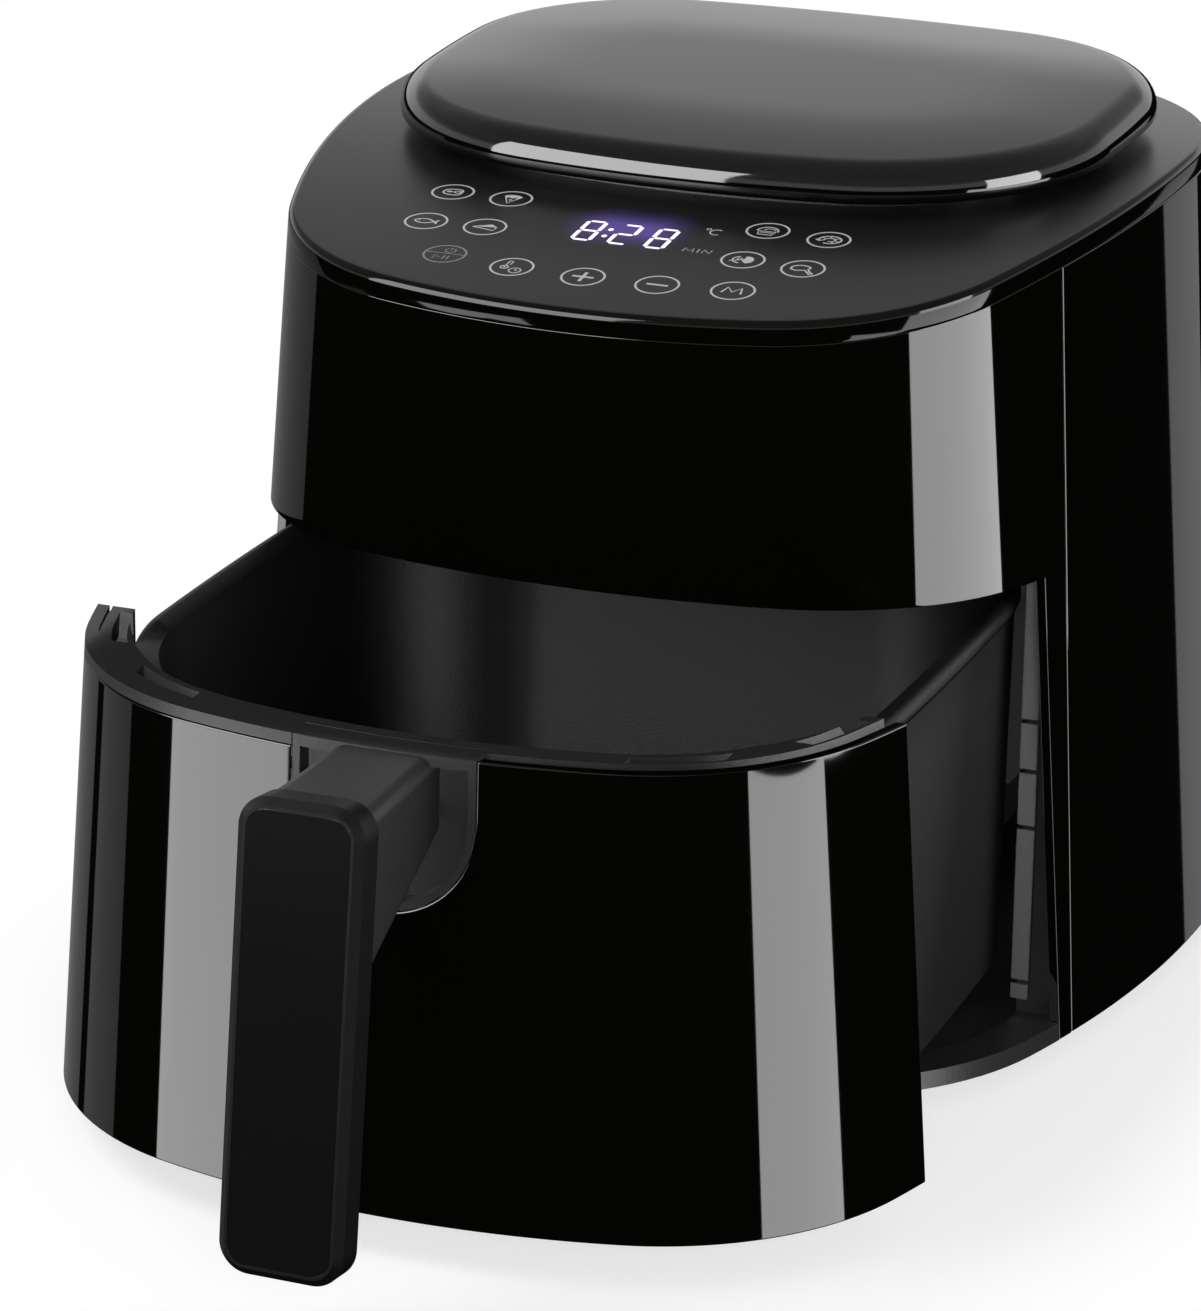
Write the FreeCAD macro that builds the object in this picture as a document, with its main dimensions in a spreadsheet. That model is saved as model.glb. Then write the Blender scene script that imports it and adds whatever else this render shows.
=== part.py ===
"""Countertop air fryer: housing, pull-out drawer with pan, crisper plate and hot-air unit.

Millimetres. Front is -Y, +Z is up, the table is z = 0 and x = 0 is the plane of symmetry.
The drawer stands pulled out by drawer_out, as it does at rest.
"""
import FreeCAD, Part
import math
import os
import Sketcher
from FreeCAD import Rotation, Vector

doc = FreeCAD.newDocument("air_fryer")
sheet = doc.addObject("Spreadsheet::Sheet", "dims")

SIZES = (
    ("fit_gap", 0.3, "clearance between fixed pieces that fit into each other"),
    ("slide_gap", 1.0, "clearance round the closed drawer front"),
    # Housing outline at its bottom edge
    ("half_width", 135, "half width of the housing"),
    ("front_reach", 174, "widest station to the front"),
    ("rear_reach", 114, "widest station to the back"),
    ("front_arc", 240, "radius of the bowed front"),
    ("corner_arc", 79, "radius of the front corners"),
    ("side_arc", 377, "radius of the bowed sides"),
    ("rear_corner", 112, "radius of the rear corners"),
    ("rear_arc", 270, "radius of the bowed back"),
    ("side_draft", 0.0705, "inward lean of the sides per mm of height"),
    ("front_draft", 0.036, "inward lean of front and back per mm of height"),
    ("shell_wall", 2.5, "wall of the moulded shells"),
    ("foot_stand", 6, "height of the feet"),
    ("foot_radius", 9, "radius of a foot on the table"),
    ("foot_side", 78, "foot to the plane of symmetry"),
    ("foot_front", 118, "front feet ahead of the widest station"),
    ("foot_rear", 72, "rear feet behind the widest station"),
    # Shell seam, drawer bay and base
    ("seam_station", 93, "seam ahead of the widest station"),
    ("seam_gap", 0.4, "gap at the shell seam"),
    ("post_width", 6, "post beside the drawer bay"),
    ("reveal_height", 140, "lower edge of the front panel"),
    ("reveal_station", 130, "where the reveal height is measured"),
    ("reveal_slope", 0.06, "rise of that edge towards the front"),
    ("base_floor", 3, "thickness of the base floor"),
    ("lip_height", 5, "height of the lip under the drawer front"),
    ("lip_depth", 12, "depth of that lip"),
    ("boss_radius", 4.5, "screw boss"),
    ("boss_height", 17, "screw boss above the floor"),
    ("boss_front", 76, "front bosses ahead of the widest station"),
    ("boss_rear", 24, "rear bosses behind the widest station"),
    ("screw_radius", 1.6, "case screw shank"),
    ("screw_head", 3.4, "case screw head radius"),
    ("screw_head_height", 1.5, "case screw head height"),
    # Top
    ("crown_top", 230.5, "highest point of the control panel"),
    ("crown_station", 10, "that point behind the widest station"),
    ("crown_radius", 1173, "curve of the control panel"),
    ("cover_edge", 6, "control panel thickness"),
    ("cover_round", 4.5, "rounding of the control panel's edge"),
    ("lid_half_width", 104, "half width of the lid"),
    ("lid_front", 93, "lid ahead of the widest station"),
    ("lid_rear", 73, "lid behind the widest station"),
    ("lid_front_arc", 280, "bow of the lid's front"),
    ("lid_corner", 70, "front corners of the lid"),
    ("lid_side_arc", 420, "bow of the lid's sides"),
    ("lid_rear_corner", 60, "rear corners of the lid"),
    ("lid_rear_arc", 600, "bow of the lid's back"),
    ("lid_height", 11, "thickness of the lid"),
    ("lid_stand", 233.5, "underside of the lid at the widest station"),
    ("lid_tilt", 1.6, "tilt of the lid in degrees"),
    ("lid_round", 8, "rounding of the lid's upper edge"),
    ("lid_nose", 2.5, "rounding of the lid's lower edge"),
    ("inlet_inset", 14, "air inlet ring inside the lid's edge"),
    ("inlet_wall", 2, "wall of the air inlet ring"),
    ("inlet_slots", 9, "air slots on each side of that ring"),
    # Hot-air unit
    ("fan_station", 30, "fan axis ahead of the widest station"),
    ("bay_top", 143, "ceiling of the drawer bay"),
    ("sheet_metal", 1.5, "ceiling plate"),
    ("shroud_radius", 90, "heat shroud inside radius"),
    ("shroud_height", 42, "heat shroud height"),
    ("shroud_wall", 1, "heat shroud sheet"),
    ("shroud_flange", 7, "heat shroud flange width"),
    ("guard_radius", 95, "heater guard radius"),
    ("guard_slots", 20, "slots in each ring of the guard"),
    ("tube_radius", 3.2, "heating tube"),
    ("coil_inner", 50, "inner half turn of the heating tube"),
    ("coil_pitch", 12, "step between turns"),
    ("coil_rise", 12, "tube centre above the ceiling plate"),
    ("clip_width", 6, "heater clip"),
    ("clip_height", 2.6, "heater clip"),
    ("shaft_radius", 4, "motor shaft"),
    ("bearing_gap", 0.05, "running clearance on the shaft"),
    ("fan_radius", 58, "convection fan"),
    ("fan_rise", 27, "fan disc above the ceiling plate"),
    ("fan_blades", 10, "blades of each fan"),
    ("blade_height", 9, "blades of the convection fan"),
    ("fan_sheet", 1.4, "fan disc and blades"),
    ("cooling_radius", 36, "cooling fan"),
    ("cooling_blade", 5, "blades of the cooling fan"),
    ("motor_radius", 30, "motor case"),
    ("motor_height", 28, "motor case"),
    ("bracket_sheet", 2, "motor bracket"),
    ("vent_radius", 44, "opening in the control panel over the motor"),
    # Drawer
    ("drawer_out", 113, "how far the drawer stands out"),
    ("drawer_height", 124, "drawer front"),
    ("skin", 3, "gloss skin of the drawer front"),
    ("rim_cap", 3, "matte rim over the skin"),
    ("cap_end", 18.8, "right end of that rim"),
    ("rim_gap", 2.6, "gap between skin and frame beyond that end"),
    ("rim_gap_depth", 6, "depth of that gap"),
    ("hook_groove", 0.9, "groove in the rim's left end"),
    ("hook_length", 19, "length of that groove"),
    ("frame_depth", 13, "drawer frame from the outside to the pan"),
    ("ledge", 4.4, "ledge that carries the pan's flange"),
    ("rim_drop", 8, "pan flange below the drawer rim"),
    ("slot_inset", 6.8, "rim slots from the outside"),
    ("slot_width", 4, "rim slots"),
    ("slot_depth", 7, "rim slots down to the frame's hollow"),
    ("slot_end", 3.5, "side slots from the drawer's rear end"),
    ("slot_length", 21, "side slots"),
    ("corner_slot", 77, "corner slots inside the housing's side"),
    ("corner_slot_length", 22, "corner slots"),
    ("hollow_inset", 6.5, "hollow of the drawer frame from the outside"),
    ("bay_room", 37, "pan wall inside the housing's widest side"),
    ("pan_rear", 66, "pan wall behind the widest station"),
    ("pan_station", 40, "widest station of the pan"),
    ("pan_corner", 66, "front corners of the pan"),
    ("pan_rear_corner", 50, "rear corners of the pan"),
    ("pan_side_arc", 1500, "bow of the pan's sides"),
    ("pan_draft", 0.075, "inward lean of the pan towards its bottom"),
    ("pan_wall", 1.6, "pan sheet"),
    ("pan_flange", 6, "pan flange width"),
    ("pan_low", 20, "underside of the pan"),
    ("runner_gap", 0.3, "running clearance between pan and rails"),
    ("rail_station", 64, "rails to the plane of symmetry"),
    ("rail_width", 9, "drawer rail"),
    ("liner_gap", 2.5, "pan flange to bay liner"),
    ("liner_wall", 1.2, "bay liner"),
    ("liner_slots", 7, "slots in each side of the bay liner"),
    ("liner_pitch", 16, "spacing of those slots"),
    ("liner_slot_height", 3, "slots in the bay liner"),
    # Handle
    ("bracket_half", 24.5, "half width of the handle bracket"),
    ("bracket_height", 42, "handle bracket below the rim"),
    ("bracket_depth", 8, "handle bracket"),
    ("cup_wall", 2, "wall of the bracket's recess"),
    ("cup_depth", 5.5, "recess of the bracket under the rim"),
    ("handle_screw_drop", 13.5, "handle screws below the rim"),
    ("neck_root_half", 13, "half width of the neck at the bracket"),
    ("neck_root_height", 23, "neck at the bracket"),
    ("neck_half", 15, "half width of the neck at the grip"),
    ("neck_height", 44, "neck at the grip"),
    ("neck_round", 4, "edges of the neck"),
    ("grip_stand", 38, "grip clear of the drawer front"),
    ("grip_lean", 7.4, "lean of the grip away from the front at its foot, in degrees"),
    ("grip_half", 16.5, "half width of the grip"),
    ("grip_thickness", 10, "grip"),
    ("grip_high", 137.5, "top of the grip"),
    ("grip_length", 119.5, "grip"),
    ("grip_corner", 8, "corners of the grip"),
    ("grip_edge", 2, "bevel round the front of the grip"),
    ("insert_border", 2.8, "grip border round the insert"),
    ("insert_depth", 2, "gloss insert"),
    # Crisper plate
    ("plate_stand", 12, "crisper plate above the pan floor"),
    ("plate_sheet", 1.5, "crisper plate"),
    ("plate_gap", 4, "crisper plate to the pan wall"),
    ("hole_radius", 3.4, "holes in the crisper plate"),
    ("hole_pitch", 18, "spacing of those holes"),
    ("bumper_radius", 6, "silicone bumpers"),
    ("bumper_neck", 4, "bumper where it passes the plate"),
    # Electrics
    ("board_sheet", 1.6, "circuit boards"),
    ("board_half_width", 58, "touch board"),
    ("board_front", 149, "touch board ahead of the widest station"),
    ("board_depth", 60, "touch board"),
    ("board_drop", 24, "touch board below the top of the crown"),
    ("post_radius", 3, "board posts"),
    ("display_width", 46, "display module"),
    ("display_depth", 20, "display module"),
    ("power_half_width", 42, "power board"),
    ("power_clear", 15, "power board ahead of the housing's back"),
    ("power_depth", 30, "power board"),
    ("power_rise", 7, "power board above the ceiling plate"),
    ("gland_height", 34, "cord gland above the table"),
    ("gland_radius", 6, "cord gland barrel"),
    ("gland_inside", 12, "cord gland inside the wall"),
    ("gland_outside", 6, "cord gland outside the wall"),
    ("gland_flange", 9, "cord gland flange"),
    ("gland_bore", 3.6, "cord gland bore"),
)
for row, (alias, number, note) in enumerate(SIZES, 1):
    sheet.set(f"A{row}", note)
    sheet.set(f"B{row}", str(number))
    sheet.setAlias(f"B{row}", alias)
doc.recompute()

UP = Vector(0, 0, 1)
FAR = 400


def size(expression):
    """Value of an expression on the sheet's aliases."""
    return float(sheet.evalExpression(expression))


# Outlines of tangent arcs

def meet(centre_a, radius_a, centre_b, radius_b, side):
    """Crossing of two circles, the one furthest to +X and to the given side in Y."""
    gap = centre_b - centre_a
    along = (radius_a ** 2 - radius_b ** 2 + gap.Length ** 2) / (2 * gap.Length)
    across = math.sqrt(radius_a ** 2 - along ** 2)
    unit = gap / gap.Length
    normal = Vector(-unit.y, unit.x, 0)
    crossings = (centre_a + unit * along + normal * across, centre_a + unit * along - normal * across)
    return max(crossings, key=lambda point: point.x + side * point.y)


def mirrored(point):
    return Vector(-point.x, point.y, point.z)


class Outline:
    """Symmetric closed outline: bowed front, sides and back with round corners, all tangent."""

    def __init__(self, half, front, rear, front_arc, corner, side_arc, rear_corner, rear_arc, station=0):
        self.half, self.front, self.rear, self.station = half, front, rear, station
        self.radii = (front_arc, corner, side_arc, rear_corner, rear_arc)
        front_centre = Vector(0, front_arc - front, 0)
        side_centre = Vector(half - side_arc, -station, 0)
        rear_centre = Vector(0, rear - rear_arc, 0)
        self.corner_centre = meet(front_centre, front_arc - corner, side_centre, side_arc - corner, -1)
        rear_corner_centre = meet(rear_centre, rear_arc - rear_corner, side_centre, side_arc - rear_corner, 1)
        self.rear_corner_centre = rear_corner_centre
        one = self.heading(self.corner_centre - front_centre)
        two = self.heading(self.corner_centre - side_centre)
        three = self.heading(rear_corner_centre - side_centre)
        four = self.heading(rear_corner_centre - rear_centre)
        self.arcs = [
            (front_centre, front_arc, -math.pi - one, one),
            (self.corner_centre, corner, one, two),
            (side_centre, side_arc, two, three),
            (rear_corner_centre, rear_corner, three, four),
            (rear_centre, rear_arc, four, math.pi - four),
            (mirrored(rear_corner_centre), rear_corner, math.pi - four, math.pi - three),
            (mirrored(side_centre), side_arc, math.pi - three, math.pi - two),
            (mirrored(self.corner_centre), corner, math.pi - two, math.pi - one),
        ]

    @staticmethod
    def heading(vector):
        return math.atan2(vector.y, vector.x)

    def inset(self, side, front=None):
        """The same outline moved inwards, by another amount at front and back if given."""
        front = side if front is None else front
        mean = (side + front) / 2
        front_arc, corner, side_arc, rear_corner, rear_arc = self.radii
        return Outline(self.half - side, self.front - front, self.rear - front, front_arc - front,
                       corner - mean, side_arc - side, rear_corner - mean, rear_arc - front, self.station)

    def geometry(self):
        return [Part.ArcOfCircle(Part.Circle(centre, UP, radius), start, end)
                for centre, radius, start, end in self.arcs]

    def wire(self, height):
        wire = Part.Wire([arc.toShape() for arc in self.geometry()])
        wire.translate(UP * height)
        return wire

    def prism(self, low, high):
        return Part.Face(self.wire(low)).extrude(UP * (high - low))

    def side_x(self, y):
        """Half width where the outline passes y, on its side or round a corner."""
        for centre, radius, start, end in self.arcs[1:4]:
            if centre.y + radius * math.sin(start) <= y <= centre.y + radius * math.sin(end):
                return centre.x + math.sqrt(radius ** 2 - (y - centre.y) ** 2)
        raise ValueError(f"the outline's side doesn't pass {y}")

    def corner_point(self, inset, rear=False):
        """Point on the diagonal of a right-hand corner, inset from the outline."""
        centre = self.rear_corner_centre if rear else self.corner_centre
        reach = (self.radii[3] if rear else self.radii[1]) - inset
        step = reach * math.sqrt(0.5)
        return centre + Vector(step, step if rear else -step, 0)


def housing_outline(height, inset=0):
    """Outline of the leaning housing walls at a height above the table."""
    level = height - size("foot_stand")
    outer = Outline(size("half_width"), size("front_reach"), size("rear_reach"), size("front_arc"),
                    size("corner_arc"), size("side_arc"), size("rear_corner"), size("rear_arc"))
    return outer.inset(size("side_draft") * level + inset, size("front_draft") * level + inset)


def housing_space(inset, low, high):
    """Solid inside the leaning walls between two heights."""
    wires = [housing_outline(height, inset).wire(height) for height in (low, high)]
    return Part.makeLoft(wires, True, True)


def lid_outline(inset=0):
    outer = Outline(size("lid_half_width"), size("lid_front"), size("lid_rear"), size("lid_front_arc"),
                    size("lid_corner"), size("lid_side_arc"), size("lid_rear_corner"), size("lid_rear_arc"))
    return outer.inset(inset)


RIM = size("foot_stand + lip_height + slide_gap + drawer_height")
FLANGE_LOW = size(f"{RIM} - rim_drop - pan_wall")
FRAME_INSIDE = housing_outline(FLANGE_LOW, size("frame_depth + fit_gap"))


def pan_outline(height, inset=0):
    """Outside of the pan's leaning wall; its front runs beside the drawer frame."""
    flange = size("pan_flange")
    front_arc = FRAME_INSIDE.radii[0] - flange
    wall = Outline(size("half_width - bay_room"), FRAME_INSIDE.front - flange, size("pan_rear"), front_arc,
                   size("pan_corner"), size("pan_side_arc"), size("pan_rear_corner"), front_arc * 4,
                   size("pan_station"))
    return wall.inset(size("pan_draft") * (FLANGE_LOW - height) + inset)


def crown_height(y, drop=0):
    """Height of the control panel's upper face, or of a face a drop below it."""
    radius = size("crown_radius") - drop
    reach = y - size("crown_station")
    return size("crown_top - crown_radius") + math.sqrt(radius ** 2 - reach ** 2)


def lid_underside(y):
    return size("lid_stand") + y * math.tan(math.radians(size("lid_tilt")))


# Document objects

def make_body(label):
    return doc.addObject("PartDesign::Body", label)


def make_sketch(body, name, role, lift="0"):
    """Sketch on one of the body's origin planes, lifted along its normal."""
    sketch = body.newObject("Sketcher::SketchObject", name)
    plane = next(item for item in body.Origin.OriginFeatures if item.Role == role)
    sketch.AttachmentSupport = [(plane, "")]
    sketch.MapMode = "FlatFace"
    sketch.setExpression("AttachmentOffset.Base.z", lift)
    return sketch


def constrain(sketch, expression, kind, *where):
    index = sketch.addConstraint(Sketcher.Constraint(kind, *where, float(sheet.evalExpression(expression))))
    sketch.setExpression(f"Constraints[{index}]", expression)


def add_circle(sketch, radius, x="0", y="0"):
    """Circle whose radius and centre follow expressions."""
    centre = Vector(float(sheet.evalExpression(x)), float(sheet.evalExpression(y)), 0)
    circle = sketch.addGeometry(Part.Circle(centre, UP, float(sheet.evalExpression(radius))))
    constrain(sketch, radius, "Radius", circle)
    constrain(sketch, x, "DistanceX", -1, 1, circle, 3)
    constrain(sketch, y, "DistanceY", -1, 1, circle, 3)


def add_rectangle(sketch, left, right, low, high):
    """Rectangle whose four sides follow expressions."""
    x0, x1, y0, y1 = [float(sheet.evalExpression(side)) for side in (left, right, low, high)]
    corners = [Vector(x0, y0, 0), Vector(x1, y0, 0), Vector(x1, y1, 0), Vector(x0, y1, 0)]
    lines = [sketch.addGeometry(Part.LineSegment(corners[i], corners[(i + 1) % 4])) for i in range(4)]
    for i in range(4):
        sketch.addConstraint(Sketcher.Constraint("Coincident", lines[i], 2, lines[(i + 1) % 4], 1))
        sketch.addConstraint(Sketcher.Constraint("Vertical" if i % 2 else "Horizontal", lines[i]))
    constrain(sketch, left, "DistanceX", -1, 1, lines[0], 1)
    constrain(sketch, low, "DistanceY", -1, 1, lines[0], 1)
    constrain(sketch, right, "DistanceX", -1, 1, lines[1], 2)
    constrain(sketch, high, "DistanceY", -1, 1, lines[1], 2)


def add_polygon(sketch, points):
    corners = [Vector(x, y, 0) for x, y in points]
    sketch.addGeometry([Part.LineSegment(corners[i - 1], corners[i]) for i in range(len(corners))])


def add_pad(body, sketch, length):
    pad = body.newObject("PartDesign::Pad", f"{sketch.Name}_pad")
    pad.Profile = sketch
    pad.setExpression("Length", length)
    return pad


def add_pocket(body, sketch, depth=None, both=False, reverse=False):
    """Cut to a depth, or right through; both cuts to each side of the sketch."""
    pocket = body.newObject("PartDesign::Pocket", f"{sketch.Name}_pocket")
    pocket.Profile = sketch
    pocket.Reversed = reverse
    if both:
        pocket.SideType = "Symmetric"
    if depth is None:
        pocket.Type = "ThroughAll"
    else:
        pocket.setExpression("Length", depth)
    return pocket


def add_loft(body, name, outlines, kind="PartDesign::AdditiveLoft"):
    """Ruled loft between an outline at each of two heights."""
    sections = []
    for place, (height, outline) in zip(("low", "high"), outlines):
        section = make_sketch(body, f"{name}_{place}", "XY_Plane", str(height))
        section.addGeometry(outline.geometry())
        sections.append(section)
    loft = body.newObject(kind, name)
    loft.Profile = sections[0]
    loft.Sections = sections[1:]
    loft.Ruled = True
    return loft


def add_pattern(body, feature, count):
    """Copies of a feature round the body's Z axis."""
    axis = next(item for item in body.Origin.OriginFeatures if item.Role == "Z_Axis")
    pattern = body.newObject("PartDesign::PolarPattern", f"{feature.Name}_ring")
    pattern.Originals = [feature]
    pattern.Axis = (axis, [""])
    pattern.Angle = 360
    pattern.setExpression("Occurrences", count)
    body.Tip = pattern
    return pattern


def add_rounding(body, name, edges, radius):
    solid = body.Tip
    fillet = body.newObject("PartDesign::Fillet", name)
    fillet.Base = (solid, edges)
    fillet.setExpression("Radius", radius)
    return fillet


def add_revolution(body, sketch):
    """Turn an XZ profile about the body's Z axis."""
    axis = next(item for item in body.Origin.OriginFeatures if item.Role == "Z_Axis")
    turn = body.newObject("PartDesign::Revolution", f"{sketch.Name}_turn")
    turn.Profile = sketch
    turn.ReferenceAxis = (axis, [""])
    turn.Angle = 360
    return turn


def place(item, x="0", y="0", z="0"):
    for axis, expression in zip("xyz", (x, y, z)):
        item.setExpression(f"Placement.Base.{axis}", expression)


def make_feature(label, shape):
    feature = doc.addObject("Part::Feature", label)
    feature.Shape = shape.removeSplitter()
    return feature


def make_box(label, length, width, height):
    box = doc.addObject("Part::Box", label)
    for name, expression in zip(("Length", "Width", "Height"), (length, width, height)):
        box.setExpression(name, expression)
    return box


def make_cylinder(label, radius, height):
    cylinder = doc.addObject("Part::Cylinder", label)
    cylinder.setExpression("Radius", radius)
    cylinder.setExpression("Height", height)
    return cylinder


def make_group(label, members):
    group = doc.addObject("Part::Compound", label)
    group.Links = members
    return group


def cut_crown(body, name, drop, above):
    """Cut a body off at the crowned top, on one side of the face a drop below it."""
    front, rear = size("-front_reach * 1.2"), size("rear_reach * 1.4")
    end = size("crown_top * 1.4") if above else 0
    sketch = make_sketch(body, name, "YZ_Plane")
    points = [Vector(y, crown_height(y, drop), 0) for y in (front, 0, rear)]
    sketch.addGeometry([
        Part.Arc(*points),
        Part.LineSegment(points[2], Vector(rear, end, 0)),
        Part.LineSegment(Vector(rear, end, 0), Vector(front, end, 0)),
        Part.LineSegment(Vector(front, end, 0), points[0]),
    ])
    return add_pocket(body, sketch, both=True)


def behind(y):
    """Everything behind a station, for cutting shapes."""
    return Part.makeBox(2 * FAR, FAR, 2 * FAR, Vector(-FAR, y, -FAR))


# Housing shells

LOFT_LOW = size("foot_stand")
LOFT_HIGH = size("crown_top + 15")


def add_housing_walls(body, name):
    add_loft(body, f"{name}_outer", [(z, housing_outline(z)) for z in (LOFT_LOW, LOFT_HIGH)])
    inner = [(z, housing_outline(z, size("shell_wall"))) for z in (LOFT_LOW, LOFT_HIGH)]
    add_loft(body, f"{name}_inner", inner, "PartDesign::SubtractiveLoft")
    cut_crown(body, f"{name}_crown", size("cover_edge"), True)


def boss_places():
    """Screw bosses against the shell's side walls, right and left."""
    bottom = housing_outline(size("foot_stand + base_floor + boss_height"))
    for y in (size("-boss_front"), size("boss_rear")):
        x = bottom.side_x(y) - size("shell_wall + boss_radius") + 1
        yield Vector(x, y, 0)
        yield Vector(-x, y, 0)


def make_rear_shell():
    body = make_body("rear_shell")
    add_housing_walls(body, "rear_shell")
    front = make_sketch(body, "rear_shell_seam", "XY_Plane")
    add_rectangle(front, f"-{FAR}", f"{FAR}", f"-{FAR}", "-dims.seam_station + dims.seam_gap / 2")
    add_pocket(body, front, both=True)
    bosses = make_sketch(body, "rear_shell_bosses", "XY_Plane", "dims.foot_stand + dims.base_floor")
    for spot in boss_places():
        bosses.addGeometry(Part.Circle(spot, UP, size("boss_radius")))
    add_pad(body, bosses, "dims.boss_height")
    bores = make_sketch(body, "rear_shell_bores", "XY_Plane", "dims.foot_stand + dims.base_floor")
    for spot in boss_places():
        bores.addGeometry(Part.Circle(spot, UP, size("screw_radius + bearing_gap")))
    add_pocket(body, bores, "dims.boss_height", reverse=True)
    vents = make_sketch(body, "rear_shell_vents", "XZ_Plane", "-dims.rear_reach / 2")
    for row in range(7):
        low = f"dims.bay_top + {10 + row * 9}"
        add_rectangle(vents, "-44", "44", low, f"{low} + 4")
    add_pocket(body, vents)
    gland = make_sketch(body, "rear_shell_gland", "XZ_Plane", "-dims.rear_reach / 2")
    add_circle(gland, "dims.gland_radius + dims.fit_gap", "0", "dims.gland_height")
    add_pocket(body, gland)


def make_front_panel():
    body = make_body("front_panel")
    add_housing_walls(body, "front_panel")
    rear = make_sketch(body, "front_panel_seam", "XY_Plane")
    add_rectangle(rear, f"-{FAR}", f"{FAR}", "-dims.seam_station - dims.seam_gap / 2", f"{FAR}")
    add_pocket(body, rear, both=True)
    mouth = make_sketch(body, "front_panel_mouth", "YZ_Plane")
    post = size("-seam_station - post_width")
    edge = lambda y: size("reveal_height") - size("reveal_slope") * (y + size("reveal_station"))
    add_polygon(mouth, [(-FAR, 0), (post, 0), (post, edge(post)), (-FAR, edge(-FAR))])
    add_pocket(body, mouth, both=True)


def make_control_panel():
    body = make_body("control_panel")
    low = size("crown_top - 60")
    add_loft(body, "control_panel_slab", [(z, housing_outline(z)) for z in (low, LOFT_HIGH)])
    cut_crown(body, "control_panel_top", 0, True)
    cut_crown(body, "control_panel_under", size("cover_edge"), False)
    vent = make_sketch(body, "control_panel_vent", "XY_Plane")
    add_circle(vent, "dims.vent_radius", "0", "-dims.fan_station")
    add_pocket(body, vent, both=True)
    for name, y in (("front", "-dims.board_front + 5"), ("rear", "-dims.board_front + dims.board_depth - 5")):
        level = "dims.crown_top - dims.board_drop"
        posts = make_sketch(body, f"control_panel_{name}_posts", "XY_Plane", level)
        add_circle(posts, "dims.post_radius", "dims.board_half_width - 5", y)
        add_circle(posts, "dims.post_radius", "5 - dims.board_half_width", y)
        reach = crown_height(float(sheet.evalExpression(y)), size("cover_edge / 2"))
        add_pad(body, posts, f"{reach} - dims.crown_top + dims.board_drop")
    doc.recompute()
    on_top = lambda point: abs(point.z - crown_height(point.y)) < 0.05
    edges = []
    for number, edge in enumerate(body.Shape.Edges, 1):
        middle = edge.valueAt((edge.FirstParameter + edge.LastParameter) / 2)
        inside_vent = (middle + Vector(0, size("fan_station"), -middle.z)).Length < size("vent_radius + 1")
        if on_top(middle) and on_top(edge.Vertexes[0].Point) and not inside_vent:
            edges.append(f"Edge{number}")
    add_rounding(body, "control_panel_round", edges, "dims.cover_round")


def make_top_lid():
    body = make_body("top_lid")
    sketch = make_sketch(body, "top_lid_plan", "XY_Plane")
    sketch.addGeometry(lid_outline().geometry())
    pad = add_pad(body, sketch, "dims.lid_height")
    doc.recompute()
    roundings = (("lower", 0, "dims.lid_nose"), ("upper", size("lid_height"), "dims.lid_round"))
    for name, height, radius in roundings:
        level = [f"Edge{number}" for number, edge in enumerate(body.Shape.Edges, 1)
                 if all(abs(corner.Z - height) < 0.01 for corner in edge.Vertexes)
                 and abs(edge.CenterOfMass.z - height) < 0.01]
        add_rounding(body, f"top_lid_{name}", level, radius)
        doc.recompute()
    hollow = make_sketch(body, "top_lid_hollow", "XY_Plane")
    hollow.addGeometry(lid_outline(size("inlet_inset + inlet_wall * 2")).geometry())
    add_pocket(body, hollow, "dims.lid_height - dims.shell_wall", reverse=True)
    body.Placement.Rotation = Rotation(Vector(1, 0, 0), size("lid_tilt"))
    place(body, z="dims.lid_stand")


def make_air_inlet_ring():
    body = make_body("air_inlet_ring")
    low, high = size("crown_top - cover_edge * 2"), size("lid_stand + lid_height")
    inset = size("inlet_inset")
    add_loft(body, "inlet_outer", [(z, lid_outline(inset)) for z in (low, high)])
    inner = [(z, lid_outline(inset + size("inlet_wall"))) for z in (low, high)]
    add_loft(body, "inlet_inner", inner, "PartDesign::SubtractiveLoft")
    cut_crown(body, "inlet_foot", 0, False)
    top = make_sketch(body, "inlet_top", "YZ_Plane")
    ends = (size("-front_reach"), size("rear_reach"))
    add_polygon(top, [(ends[0], lid_underside(ends[0])), (ends[1], lid_underside(ends[1])),
                      (ends[1], high * 2), (ends[0], high * 2)])
    add_pocket(body, top, both=True)
    slots = make_sketch(body, "inlet_slots", "YZ_Plane")
    count = int(size("inlet_slots"))
    for number in range(count):
        y = (number - (count - 1) / 2) * 11 + size("(lid_rear - lid_front) / 2")
        low_z = crown_height(y) + 1
        add_polygon(slots, [(y - 3, low_z), (y + 3, low_z), (y + 3, lid_underside(y) - 1.2),
                            (y - 3, lid_underside(y) - 1.2)])
    add_pocket(body, slots, both=True)


# Base and drawer bay

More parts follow.
